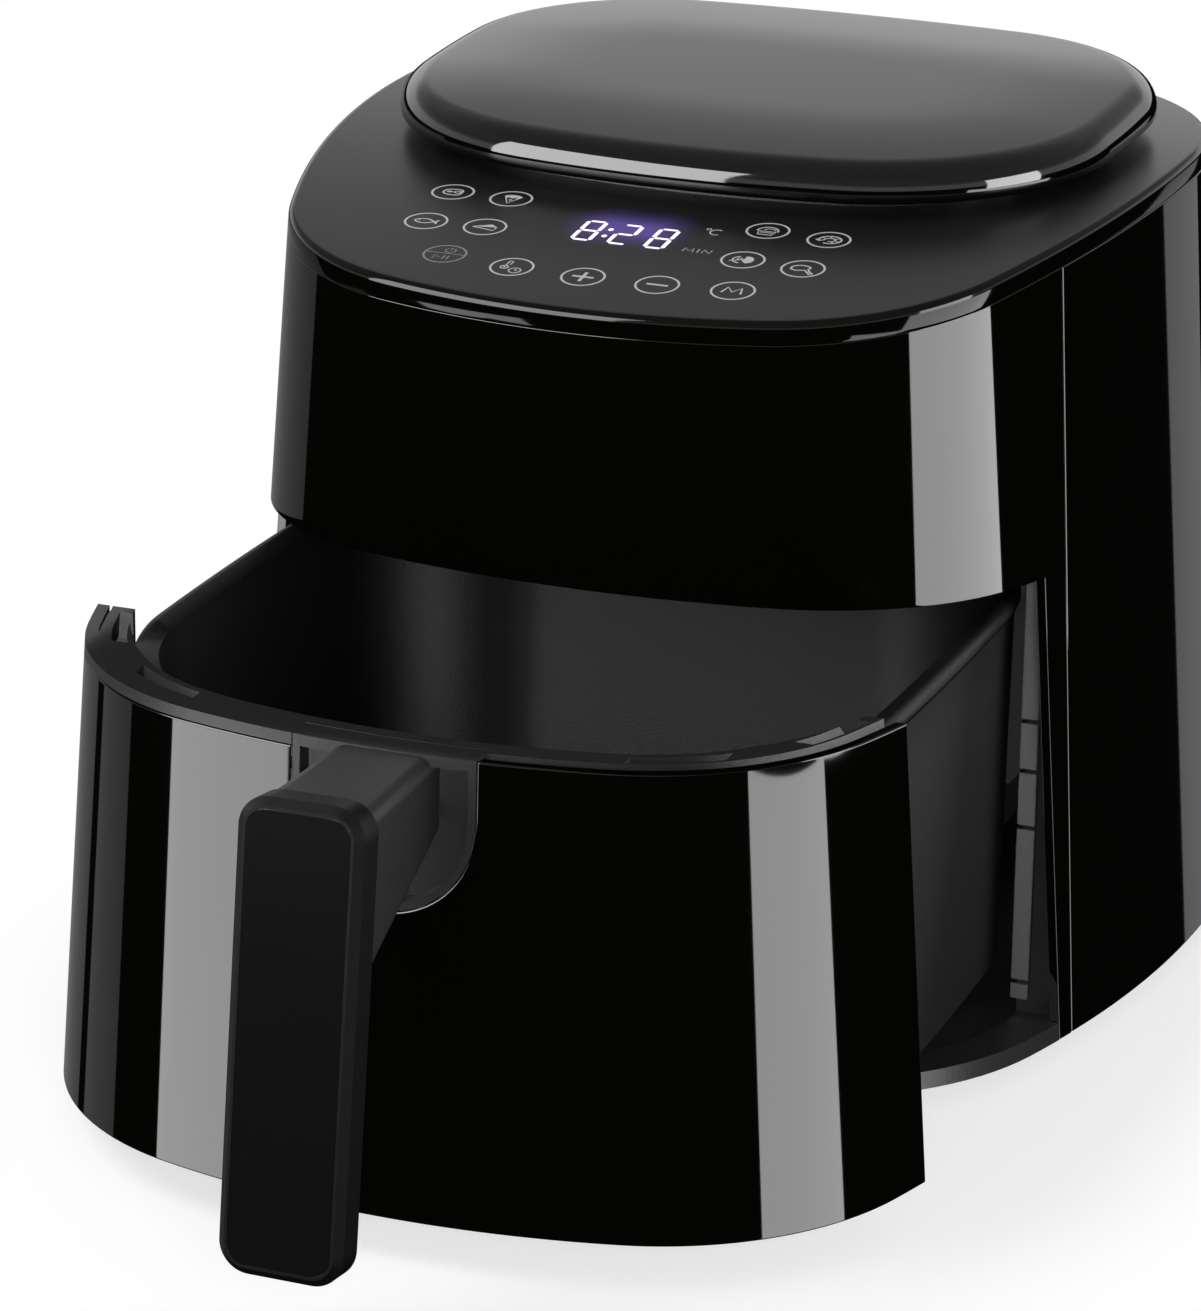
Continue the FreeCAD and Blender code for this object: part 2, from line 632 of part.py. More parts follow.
def make_base():
    body = make_body("base")
    low, lip = size("foot_stand"), size("foot_stand + lip_height")
    add_loft(body, "base_lip", [(z, housing_outline(z)) for z in (low, lip)])
    rear = make_sketch(body, "base_lip_end", "XY_Plane")
    add_rectangle(rear, f"-{FAR}", f"{FAR}", "-dims.seam_station - dims.post_width - dims.fit_gap", f"{FAR}")
    add_pocket(body, rear, both=True)
    hollow = make_sketch(body, "base_hollow", "XY_Plane", "dims.foot_stand + dims.base_floor")
    hollow.addGeometry(housing_outline(lip, size("lip_depth")).geometry())
    add_pocket(body, hollow, reverse=True)
    floor = make_sketch(body, "base_floor", "XY_Plane", "dims.foot_stand")
    floor.addGeometry(housing_outline(low + size("base_floor"), size("shell_wall + fit_gap")).geometry())
    add_pad(body, floor, "dims.base_floor")
    holes = make_sketch(body, "base_holes", "XY_Plane", "dims.foot_stand")
    heads = make_sketch(body, "base_heads", "XY_Plane", "dims.foot_stand")
    for spot in boss_places():
        holes.addGeometry(Part.Circle(spot, UP, size("screw_radius + bearing_gap")))
        heads.addGeometry(Part.Circle(spot, UP, size("screw_head + fit_gap")))
    add_pocket(body, holes, reverse=True)
    add_pocket(body, heads, "dims.screw_head_height", reverse=True)
    vents = make_sketch(body, "base_vents", "XY_Plane", "dims.foot_stand")
    for number in range(-4, 5):
        add_rectangle(vents, f"{number * 10 - 2}", f"{number * 10 + 2}", "-20", "30")
    add_pocket(body, vents, reverse=True)


def make_base_details():
    feet = []
    for name, y in (("front", "-dims.foot_front"), ("rear", "dims.foot_rear")):
        for side, x in (("right", "dims.foot_side"), ("left", "-dims.foot_side")):
            foot = doc.addObject("Part::Cone", f"foot_{name}_{side}")
            foot.setExpression("Radius1", "dims.foot_radius - 1")
            foot.setExpression("Radius2", "dims.foot_radius")
            foot.setExpression("Height", "dims.foot_stand")
            place(foot, x, y)
            feet.append(foot)
    make_group("feet", feet)
    screws = []
    for number, spot in enumerate(boss_places()):
        head = make_cylinder(f"base_screw_head_{number}", "dims.screw_head", "dims.screw_head_height")
        length = "dims.base_floor + dims.boss_height - 4"
        shank = make_cylinder(f"base_screw_shank_{number}", "dims.screw_radius", length)
        for piece in (head, shank):
            place(piece, str(spot.x), str(spot.y), "dims.foot_stand")
        screw = doc.addObject("Part::Fuse", f"base_screw_{number}")
        screw.Base, screw.Tool = head, shank
        screws.append(screw)
    make_group("base_screws", screws)
    rails = []
    for side, x in (("right", "dims.rail_station - dims.rail_width / 2"),
                    ("left", "-dims.rail_station - dims.rail_width / 2")):
        rail = make_box(f"rail_{side}", "dims.rail_width", "dims.front_reach + dims.pan_rear - 34",
                        "dims.pan_low - dims.runner_gap - dims.foot_stand - dims.base_floor")
        place(rail, x, "-dims.front_reach + 34", "dims.foot_stand + dims.base_floor")
        rails.append(rail)
    make_group("drawer_rails", rails)


LINER = "(dims.half_width - dims.bay_room + dims.pan_flange + dims.liner_gap)"
LINER_REAR = "(dims.pan_rear + dims.pan_flange + dims.liner_gap + 1.5)"
LINER_FRONT = "(dims.seam_station - 2)"
POWER_FRONT = "(dims.rear_reach - dims.power_clear - dims.power_depth)"


def add_bay_plan(sketch, half, rear, front, corner):
    """Bay walls in plan: straight sides, round rear corners."""
    left, right = Vector(-half, front, 0), Vector(half, front, 0)
    turn = corner * (1 - math.sqrt(0.5))
    sketch.addGeometry([
        Part.LineSegment(left, right),
        Part.LineSegment(right, Vector(half, rear - corner, 0)),
        Part.Arc(Vector(half, rear - corner, 0), Vector(half - turn, rear - turn, 0),
                 Vector(half - corner, rear, 0)),
        Part.LineSegment(Vector(half - corner, rear, 0), Vector(corner - half, rear, 0)),
        Part.Arc(Vector(corner - half, rear, 0), Vector(turn - half, rear - turn, 0),
                 Vector(-half, rear - corner, 0)),
        Part.LineSegment(Vector(-half, rear - corner, 0), left),
    ])


def make_bay_liner():
    body = make_body("bay_liner")
    low, high = size("foot_stand + base_floor"), size("bay_top")
    inset = size("shell_wall + fit_gap")
    add_loft(body, "liner_frame", [(z, housing_outline(z, inset)) for z in (low, high)])
    ahead = make_sketch(body, "liner_ahead", "XY_Plane")
    add_rectangle(ahead, f"-{FAR}", f"{FAR}", f"-{FAR}", f"-{LINER_FRONT}")
    add_pocket(body, ahead, both=True)
    after = make_sketch(body, "liner_after", "XY_Plane")
    add_rectangle(after, f"-{FAR}", f"{FAR}", f"dims.liner_wall - {LINER_FRONT}", f"{FAR}")
    add_pocket(body, after, both=True)
    half, rear = float(sheet.evalExpression(LINER)), float(sheet.evalExpression(LINER_REAR))
    front, wall = -float(sheet.evalExpression(LINER_FRONT)), size("liner_wall")
    corner = size("pan_rear_corner")
    walls = make_sketch(body, "liner_walls", "XY_Plane", "dims.foot_stand + dims.base_floor")
    add_bay_plan(walls, half + wall, rear + wall, front, corner + wall)
    add_pad(body, walls, "dims.bay_top - dims.foot_stand - dims.base_floor")
    hollow = make_sketch(body, "liner_hollow", "XY_Plane")
    add_bay_plan(hollow, half, rear, -FAR, corner)
    add_pocket(body, hollow, both=True)
    slots = make_sketch(body, "liner_slots", "YZ_Plane")
    for number in range(int(size("liner_slots"))):
        slot = f"dims.pan_low + {number} * dims.liner_pitch"
        top = f"{slot} + dims.liner_slot_height"
        add_rectangle(slots, "6 - dims.seam_station", "dims.pan_rear - 46", slot, top)
    add_pocket(body, slots, both=True)
    plunger = make_sketch(body, "liner_plunger", "XZ_Plane")
    add_circle(plunger, "2.5", "0", f"{FLANGE_LOW} + dims.pan_wall / 2")
    add_pocket(body, plunger)


def make_bay_ceiling():
    body = make_body("bay_ceiling")
    plate = make_sketch(body, "ceiling_plate", "XY_Plane", "dims.bay_top")
    plate.addGeometry(housing_outline(size("bay_top + sheet_metal"), size("shell_wall + fit_gap")).geometry())
    add_pad(body, plate, "dims.sheet_metal")
    hole = make_sketch(body, "ceiling_hole", "XY_Plane", "dims.bay_top")
    add_circle(hole, "dims.shroud_radius", "0", "-dims.fan_station")
    add_pocket(body, hole, reverse=True)
    posts = make_sketch(body, "ceiling_posts", "XY_Plane", "dims.bay_top")
    for x in ("dims.power_half_width - 5", "5 - dims.power_half_width"):
        for y in (f"{POWER_FRONT} + 5", f"{POWER_FRONT} + dims.power_depth - 5"):
            add_circle(posts, "dims.post_radius", x, y)
    add_pad(body, posts, "dims.sheet_metal + dims.power_rise")


# Hot-air unit

CEILING = "(dims.bay_top + dims.sheet_metal)"
SHROUD_TOP = "(dims.bay_top + dims.sheet_metal + dims.shroud_height)"


def make_heat_shroud():
    body = make_body("heat_shroud")
    inner, wall = size("shroud_radius"), size("shroud_wall")
    flange, high = size("shroud_flange"), size("shroud_height")
    hub, slope = size("shaft_radius * 3"), size("shroud_height / 4")
    profile = make_sketch(body, "shroud_profile", "XZ_Plane")
    add_polygon(profile, [
        (inner, 0), (inner + flange, 0), (inner + flange, wall), (inner + wall, wall),
        (inner + wall, high - slope), (inner - slope, high), (hub, high), (hub, high - wall),
        (inner - slope - wall / 2, high - wall), (inner, high - slope - wall / 2)])
    add_revolution(body, profile)
    probe = make_sketch(body, "shroud_probe_hole", "XY_Plane")
    add_circle(probe, "2.6", "45", "45")
    add_pocket(body, probe, reverse=True)
    place(body, "0", "-dims.fan_station", CEILING)


def make_heater():
    """Tube wound from half turns, each wider than the last by half a step, on three clips."""
    pitch, radius = size("coil_pitch"), size("coil_inner")
    height, tube = float(sheet.evalExpression(CEILING)) + size("coil_rise"), size("tube_radius")
    axis_y = size("-fan_station")
    edges, centre, sign = [], 0.0, 1
    for half_turn in range(5):
        ends = [Vector(centre + turn * radius, axis_y, height) for turn in (sign, -sign)]
        top = Vector(centre, axis_y + sign * radius, height)
        edges.append(Part.Arc(ends[0], top, ends[1]).toShape())
        centre += sign * pitch / 2
        radius += pitch / 2
        sign = -sign
    path = Part.Wire(edges)
    start = edges[0].Vertexes[0].Point
    ring = Part.Wire([Part.makeCircle(tube, start, Vector(0, 1, 0))])
    make_feature("heating_element", path.makePipeShell([ring], True, False))
    outer = size("shroud_radius - fit_gap")
    clips = []
    for number in range(3):
        clip = make_box(f"heater_clip_{number}", f"{outer} - dims.coil_inner + dims.coil_pitch",
                        "dims.clip_width", "dims.clip_height")
        turn = Rotation(UP, 30 + 120 * number)
        corner = turn.multVec(Vector(size("coil_inner - coil_pitch"), size("-clip_width / 2"), 0))
        low = height - tube - size("fit_gap + clip_height")
        clip.Placement = FreeCAD.Placement(corner + Vector(0, axis_y, low), turn)
        clips.append(clip)
    make_group("heater_clips", clips)


def make_heater_guard():
    body = make_body("heater_guard")
    disc = make_sketch(body, "guard_disc", "XY_Plane")
    add_circle(disc, "dims.guard_radius")
    add_pad(body, disc, "dims.liner_wall")
    for name, inner, outer, width in (("inner", 20, 50, 2.5), ("outer", 56, 86, 5)):
        slot = make_sketch(body, f"guard_{name}", "XY_Plane")
        add_rectangle(slot, str(inner), str(outer), str(-width / 2), str(width / 2))
        pocket = add_pocket(body, slot, reverse=True)
        doc.recompute()
        add_pattern(body, pocket, "dims.guard_slots")
    place(body, "0", "-dims.fan_station", "dims.bay_top - dims.liner_wall")


def make_fan(label, radius, blade, low, blades_up):
    """Disc with a hub and upright blades in a ring."""
    body = make_body(label)
    disc = make_sketch(body, f"{label}_disc", "XY_Plane")
    add_circle(disc, radius)
    add_pad(body, disc, "dims.fan_sheet")
    hub = make_sketch(body, f"{label}_hub", "XY_Plane")
    add_circle(hub, "dims.shaft_radius * 2")
    add_pad(body, hub, "dims.fan_sheet * 3")
    bore = make_sketch(body, f"{label}_bore", "XY_Plane")
    add_circle(bore, "dims.shaft_radius")
    add_pocket(body, bore, both=True)
    vane = make_sketch(body, f"{label}_blade", "XY_Plane")
    add_rectangle(vane, f"{radius} * 0.45", f"{radius} * 0.95", "-dims.fan_sheet / 2", "dims.fan_sheet / 2")
    pad = add_pad(body, vane, f"{blade} + dims.fan_sheet")
    pad.Reversed = not blades_up
    doc.recompute()
    add_pattern(body, pad, "dims.fan_blades")
    place(body, "0", "-dims.fan_station", low)


FAN_LOW = f"({CEILING} + dims.fan_rise)"
MOTOR_LOW = f"({SHROUD_TOP} + dims.bracket_sheet)"
COOLING_LOW = f"({MOTOR_LOW} + dims.motor_height + 2)"


def make_fan_train():
    make_fan("convection_fan", "dims.fan_radius", "dims.blade_height", FAN_LOW, False)
    make_fan("cooling_fan", "dims.cooling_radius", "dims.cooling_blade", COOLING_LOW, True)
    shaft = make_cylinder("motor_shaft", "dims.shaft_radius",
                          f"{COOLING_LOW} + dims.fan_sheet * 3 - {FAN_LOW} + 7")
    place(shaft, "0", "-dims.fan_station", f"{FAN_LOW} - 7")
    nut = make_body("fan_nut")
    across = size("shaft_radius * 1.9")
    sketch = make_sketch(nut, "nut_plan", "XY_Plane")
    add_polygon(sketch, [(across * math.cos(math.radians(60 * k)), across * math.sin(math.radians(60 * k)))
                         for k in range(6)])
    add_circle(sketch, "dims.shaft_radius")
    add_pad(nut, sketch, "4")
    place(nut, "0", "-dims.fan_station", f"{FAN_LOW} - 4")


def make_motor():
    body = make_body("fan_motor")
    outer, high, bore = size("motor_radius"), size("motor_height"), size("shaft_radius + bearing_gap")
    profile = make_sketch(body, "motor_profile", "XZ_Plane")
    add_polygon(profile, [(bore, 0), (outer, 0), (outer, high - 6), (outer - 4, high - 3),
                          (outer / 2, high - 3), (outer / 2, high), (bore, high)])
    add_revolution(body, profile)
    place(body, "0", "-dims.fan_station", MOTOR_LOW)
    bracket = make_body("motor_bracket")
    plan = make_sketch(bracket, "bracket_disc", "XY_Plane")
    add_circle(plan, "dims.motor_radius + 6")
    add_circle(plan, "dims.shaft_radius * 3")
    add_pad(bracket, plan, "dims.bracket_sheet")
    arm = make_sketch(bracket, "bracket_arm", "XY_Plane")
    add_rectangle(arm, "dims.motor_radius", "dims.shroud_radius - 24", "-9", "9")
    add_circle(arm, "2.5", "dims.shroud_radius - 32", "0")
    pad = add_pad(bracket, arm, "dims.bracket_sheet")
    doc.recompute()
    add_pattern(bracket, pad, "4")
    place(bracket, "0", "-dims.fan_station", SHROUD_TOP)


# Electrics

def make_boards():
    board = make_box("touch_board", "dims.board_half_width * 2", "dims.board_depth", "dims.board_sheet")
    board_top = "dims.crown_top - dims.board_drop"
    place(board, "-dims.board_half_width", "-dims.board_front", f"{board_top} - dims.board_sheet")
    display = make_box("display_module", "dims.display_width", "dims.display_depth", "6")
    display_front = "-dims.board_front + dims.board_depth - dims.display_depth - 8"
    place(display, "-dims.display_width / 2", display_front, board_top)
    power = make_body("power_board")
    sheet_plan = make_sketch(power, "power_sheet", "XY_Plane")
    add_rectangle(sheet_plan, "-dims.power_half_width", "dims.power_half_width", "0", "dims.power_depth")
    add_pad(power, sheet_plan, "dims.board_sheet")
    for name, left, right, high in (("relay", -26, -8, 15), ("transformer", 4, 26, 18)):
        block = make_sketch(power, f"power_{name}", "XY_Plane")
        add_rectangle(block, str(left), str(right), "6", "dims.power_depth - 6")
        add_pad(power, block, f"dims.board_sheet + {high}")
    capacitor = make_sketch(power, "power_capacitor", "XY_Plane")
    add_circle(capacitor, "4", "-2", "dims.power_depth / 2")
    add_pad(power, capacitor, "dims.board_sheet + 14")
    place(power, "0", POWER_FRONT, f"{CEILING} + dims.power_rise")


def make_sensors():
    probe = make_body("temperature_probe")
    profile = make_sketch(probe, "probe_profile", "XZ_Plane")
    add_polygon(profile, [(0, -10), (2.3, -10), (2.3, 0), (5, 0), (5, 2), (3, 2), (3, 7), (0, 7)])
    add_revolution(probe, profile)
    place(probe, "45", "45 - dims.fan_station", SHROUD_TOP)
    fuse = make_cylinder("thermal_fuse", "3", "16")
    fuse.Placement.Rotation = Rotation(Vector(1, 0, 0), 90)
    place(fuse, "-45", "45 - dims.fan_station + 8", f"{SHROUD_TOP} + 3")
    switch = make_body("drawer_switch")
    case = make_sketch(switch, "switch_case", "XZ_Plane")
    add_rectangle(case, "-10", "10", "-6", "6")
    add_pad(switch, case, "8").Reversed = True
    plunger = make_sketch(switch, "switch_plunger", "XZ_Plane")
    add_circle(plunger, "1.5")
    add_pad(switch, plunger, "dims.liner_wall + dims.liner_gap")
    place(switch, "0", f"{LINER_REAR} + dims.liner_wall", f"{FLANGE_LOW} + dims.pan_wall / 2")
    gland = make_body("cord_gland")
    ring = make_sketch(gland, "gland_profile", "XZ_Plane")
    barrel, flange, bore = size("gland_radius"), size("gland_flange"), size("gland_bore")
    inside, outside = size("-gland_inside"), size("gland_outside")
    add_polygon(ring, [(bore, inside), (barrel, inside), (barrel, 0), (flange, 0), (flange, outside / 2),
                       (barrel, outside), (bore, outside)])
    add_revolution(gland, ring)
    wall = housing_outline(size("gland_height - gland_flange")).rear
    gland.Placement = FreeCAD.Placement(Vector(0, wall + size("fit_gap"), size("gland_height")),
                                        Rotation(Vector(1, 0, 0), -90))


# Drawer, modelled closed and then drawn out

def stand_out(item):
    place(item, y="-dims.drawer_out")


DRAWER_LOW = size("foot_stand + lip_height + slide_gap")
DRAWER_END = size("-seam_station - post_width - slide_gap")


def bracket_window(gap):
    """Upright prism of the handle bracket: straight sides and a round lower end."""
    half = size("bracket_half") + gap
    turn = RIM - size("bracket_height") + size("bracket_half")
    points = [Vector(-half, 0, FAR), Vector(-half, 0, turn), Vector(0, 0, turn - half), Vector(half, 0, turn),
              Vector(half, 0, FAR)]
    edges = [Part.LineSegment(points[0], points[1]), Part.Arc(points[1], points[2], points[3]),
             Part.LineSegment(points[3], points[4]), Part.LineSegment(points[4], points[0])]
    face = Part.Face(Part.Wire([edge.toShape() for edge in edges]))
    return face.extrude(Vector(0, -FAR, 0))


def screw_axis(x):
    """Handle screws run along Y through the frame into the neck."""
    return Vector(x, DRAWER_END, RIM - size("handle_screw_drop"))


def rod(x, radius, start, end):
    spot = screw_axis(x)
    return Part.makeCylinder(radius, end - start, Vector(spot.x, start, spot.z), Vector(0, 1, 0))


HANDLE_SCREW_PLACES = (-8, 8)
FRONT_FACE = -housing_outline(RIM).front
SCREW_SEAT = -housing_outline(screw_axis(0).z, size("frame_depth - 1")).front


def left_of_cap_end(gap, low):
    """Everything above a height, from the left as far as the matte rim reaches."""
    return Part.makeBox(FAR, 2 * FAR, FAR, Vector(size("cap_end") + gap - FAR, -FAR, low))


def make_drawer_front():
    high = RIM - size("fit_gap")
    skin = housing_space(0, DRAWER_LOW, high).cut(housing_space(size("skin"), DRAWER_LOW - 1, high + 1))
    skin = skin.cut(behind(DRAWER_END)).cut(bracket_window(size("fit_gap")))
    skin = skin.cut(left_of_cap_end(size("fit_gap"), RIM - size("rim_cap + fit_gap")))
    stand_out(make_feature("drawer_front", skin))


def rim_slots():
    """Slots in the drawer rim: one beside each end and one in each corner."""
    low, high = RIM - size("slot_depth"), RIM + 1
    outer = size("slot_inset")
    ring = housing_space(outer, low, high).cut(housing_space(outer + size("slot_width"), low - 1, high + 1))
    start = DRAWER_END - size("slot_end + slot_length")
    sides = Part.makeBox(2 * FAR, size("slot_length"), FAR, Vector(-FAR, start, 0))
    length, start = size("corner_slot_length"), size("half_width - corner_slot")
    corners = [Part.makeBox(length, FAR, FAR, Vector(x, -FAR + size("-corner_arc"), 0))
               for x in (start, -start - length)]
    return [ring.common(sides)] + [ring.common(corner) for corner in corners]


def make_drawer_frame():
    low, high = DRAWER_LOW - 1, RIM + 1
    skin_room = housing_space(-5, low, high).cut(housing_space(size("skin + fit_gap"), low, high))
    skin_room = skin_room.cut(left_of_cap_end(0, RIM - size("rim_cap")))
    frame = housing_space(0, DRAWER_LOW, RIM).cut(skin_room).cut(behind(DRAWER_END))
    frame = frame.cut(housing_space(size("frame_depth"), FLANGE_LOW, high))
    frame = frame.cut(housing_space(size("frame_depth"), low, FLANGE_LOW - size("ledge")))
    frame = frame.cut(pan_outline(FLANGE_LOW, -size("pan_flange + fit_gap")).prism(FLANGE_LOW, high))
    frame = frame.cut(pan_outline(FLANGE_LOW, -size("fit_gap")).prism(low, high))
    hollow = housing_space(size("hollow_inset"), low, FLANGE_LOW - size("ledge + skin"))
    hollow = hollow.cut(housing_space(size("frame_depth - liner_wall"), low - 1, high))
    block = size("3 * bracket_half")
    hollow = hollow.cut(Part.makeBox(block, 2 * FAR, FAR, Vector(-block / 2, -FAR, 0)))
    frame = frame.cut(hollow.cut(behind(DRAWER_END - size("skin"))))
    window = bracket_window(size("fit_gap"))
    frame = frame.cut(window.cut(housing_space(size("bracket_depth + fit_gap"), low, high)))
    for slot in rim_slots():
        frame = frame.cut(slot)
    inner = size("skin + fit_gap")
    gap = housing_space(inner - 1, RIM - size("rim_gap_depth"), high)
    gap = gap.cut(housing_space(inner + size("rim_gap"), low, high)).cut(left_of_cap_end(0, low))
    groove = housing_space(inner, RIM - size("rim_cap / 2"), high)
    groove = groove.cut(housing_space(inner + size("hook_groove"), low, high))
    hook = Part.makeBox(FAR, size("hook_length"), FAR, Vector(-FAR, DRAWER_END - size("hook_length"), 0))
    frame = frame.cut(gap).cut(groove.common(hook))
    for x in HANDLE_SCREW_PLACES:
        frame = frame.cut(rod(x, size("screw_radius + fit_gap"), FRONT_FACE, DRAWER_END))
        frame = frame.cut(rod(x, size("screw_head + fit_gap"), SCREW_SEAT, DRAWER_END))
    for spot in pan_screw_places():
        frame = frame.cut(Part.makeCylinder(1.2 + size("bearing_gap"), FAR, spot))
    stand_out(make_feature("drawer_frame", frame))


def pan_screw_places():
    flange = pan_outline(FLANGE_LOW, -size("pan_flange"))
    spot = flange.corner_point(size("pan_flange") / 2)
    return [Vector(x, spot.y, FLANGE_LOW - size("ledge") + 1) for x in (spot.x, -spot.x)]


def make_pan():
    body = make_body("pan")
    low, flange_high = size("pan_low"), FLANGE_LOW + size("pan_wall")
    add_loft(body, "pan_wall", [(z, pan_outline(z)) for z in (low, FLANGE_LOW)])
    flange = make_sketch(body, "pan_flange", "XY_Plane", str(FLANGE_LOW))
    flange.addGeometry(pan_outline(FLANGE_LOW, -size("pan_flange")).geometry())
    add_pad(body, flange, "dims.pan_wall")
    wall = size("pan_wall")
    inner = [(z, pan_outline(z, wall)) for z in (low + wall, flange_high + 1)]
    add_loft(body, "pan_inside", inner, "PartDesign::SubtractiveLoft")
    holes = make_sketch(body, "pan_holes", "XY_Plane", str(FLANGE_LOW))
    for spot in pan_screw_places():
        holes.addGeometry(Part.Circle(Vector(spot.x, spot.y, 0), UP, 1.2 + size("bearing_gap")))
    add_pocket(body, holes, "dims.pan_wall", reverse=True)
    stand_out(body)


def rounded_section(half, low, high, corner, y):
    """Upright rounded rectangle, for lofting the neck."""
    left, right = -half, half
    cut = corner * (1 - math.sqrt(0.5))
    at = lambda x, z: Vector(x, y, z)
    edges = [
        Part.LineSegment(at(left + corner, low), at(right - corner, low)),
        Part.Arc(at(right - corner, low), at(right - cut, low + cut), at(right, low + corner)),
        Part.LineSegment(at(right, low + corner), at(right, high - corner)),
        Part.Arc(at(right, high - corner), at(right - cut, high - cut), at(right - corner, high)),
        Part.LineSegment(at(right - corner, high), at(left + corner, high)),
        Part.Arc(at(left + corner, high), at(left + cut, high - cut), at(left, high - corner)),
        Part.LineSegment(at(left, high - corner), at(left, low + corner)),
        Part.Arc(at(left, low + corner), at(left + cut, low + cut), at(left + corner, low)),
    ]
    return Part.Wire([edge.toShape() for edge in edges])


GRIP_BACK = FRONT_FACE - size("grip_stand")


def make_handle():
    low, high = DRAWER_LOW - 1, RIM + 1
    ring = housing_space(0, DRAWER_LOW, RIM).cut(housing_space(size("bracket_depth"), low, high))
    plate = ring.common(bracket_window(0)).cut(behind(DRAWER_END))
    cap = Part.makeBox(2 * FAR, 2 * FAR, FAR, Vector(-FAR, -FAR, RIM - size("rim_cap")))
    cup = bracket_window(size("-cup_wall")).cut(housing_space(size("cup_depth"), low, high)).cut(cap)
    plate = plate.cut(cup)
    edge, lean = size("neck_round"), Rotation(Vector(1, 0, 0), size("-grip_lean"))
    grip_place = FreeCAD.Placement(Vector(0, GRIP_BACK, size("grip_high")), lean)
    root = rounded_section(size("neck_root_half"), RIM - size("neck_root_height"), RIM - 0.5, edge,
                           FRONT_FACE + size("cup_depth + 1"))
    tip = rounded_section(size("neck_half"), size("-neck_height - grip_edge"), size("-grip_edge"), edge, 0)
    tip.Placement = grip_place
    neck = plate.fuse(Part.makeLoft([root, tip], True, True))
    for x in HANDLE_SCREW_PLACES:
        neck = neck.cut(rod(x, size("screw_radius + bearing_gap"), FRONT_FACE - 10, DRAWER_END))
    stand_out(make_feature("handle_neck", neck))

    body = make_body("handle_grip")
    plan = make_sketch(body, "grip_plan", "XZ_Plane")
    half, low, corner = size("grip_half"), size("-grip_length"), size("grip_corner")
    add_rounded(plan, half, low, 0, corner)
    add_pad(body, plan, "dims.grip_thickness")
    doc.recompute()
    front_y = size("-grip_thickness")
    edges = [f"Edge{n}" for n, edge in enumerate(body.Shape.Edges, 1)
             if abs(edge.CenterOfMass.y - front_y) < 0.01]
    solid = body.Tip
    bevel = body.newObject("PartDesign::Chamfer", "grip_bevel")
    bevel.Base = (solid, edges)
    bevel.setExpression("Size", "dims.grip_edge")
    doc.recompute()
    border = size("insert_border")
    recess = make_sketch(body, "grip_recess", "XZ_Plane", "dims.grip_thickness")
    add_rounded(recess, half - border, low + border, -border, corner - border)
    add_pocket(body, recess, "dims.insert_depth")
    body.Placement = grip_place
    place(body, "0", f"{GRIP_BACK} - dims.drawer_out", "dims.grip_high")

    insert = make_body("handle_insert")
    face = make_sketch(insert, "insert_plan", "XZ_Plane", "dims.grip_thickness - dims.insert_depth")
    edge = border + size("fit_gap") / 2
    add_rounded(face, half - edge, low + edge, -edge, corner - edge)
    add_pad(insert, face, "dims.insert_depth")
    insert.Placement = grip_place
    place(insert, "0", f"{GRIP_BACK} - dims.drawer_out", "dims.grip_high")

    screws = []
    for number, x in enumerate(HANDLE_SCREW_PLACES):
        shank = rod(x, size("screw_radius"), FRONT_FACE - 9, SCREW_SEAT + 1)
        head = rod(x, size("screw_head"), SCREW_SEAT, SCREW_SEAT + size("screw_head_height"))
        screws.append(make_feature(f"handle_screw_{number}", shank.fuse(head)))
    stand_out(make_group("handle_screws", screws))
    screws = []
    for number, spot in enumerate(pan_screw_places()):
        top = FLANGE_LOW + size("pan_wall")
        shank = Part.makeCylinder(1.2, top - spot.z, spot)
        head = Part.makeCylinder(2.4, 1.5, Vector(spot.x, spot.y, top))
        screws.append(make_feature(f"pan_screw_{number}", shank.fuse(head)))
    stand_out(make_group("pan_screws", screws))


def add_rounded(sketch, half, low, high, corner):
    """Rounded rectangle in a sketch, symmetric about its vertical axis."""
    for edge in rounded_section(half, low, high, corner, 0).Edges:
        points = [edge.valueAt(edge.FirstParameter + part * (edge.LastParameter - edge.FirstParameter))
                  for part in (0, 0.5, 1)]
        flat = [Vector(point.x, point.z, 0) for point in points]
        if edge.Curve.TypeId == "Part::GeomLine":
            sketch.addGeometry(Part.LineSegment(flat[0], flat[2]))
        else:
            sketch.addGeometry(Part.Arc(*flat))


# Crisper plate

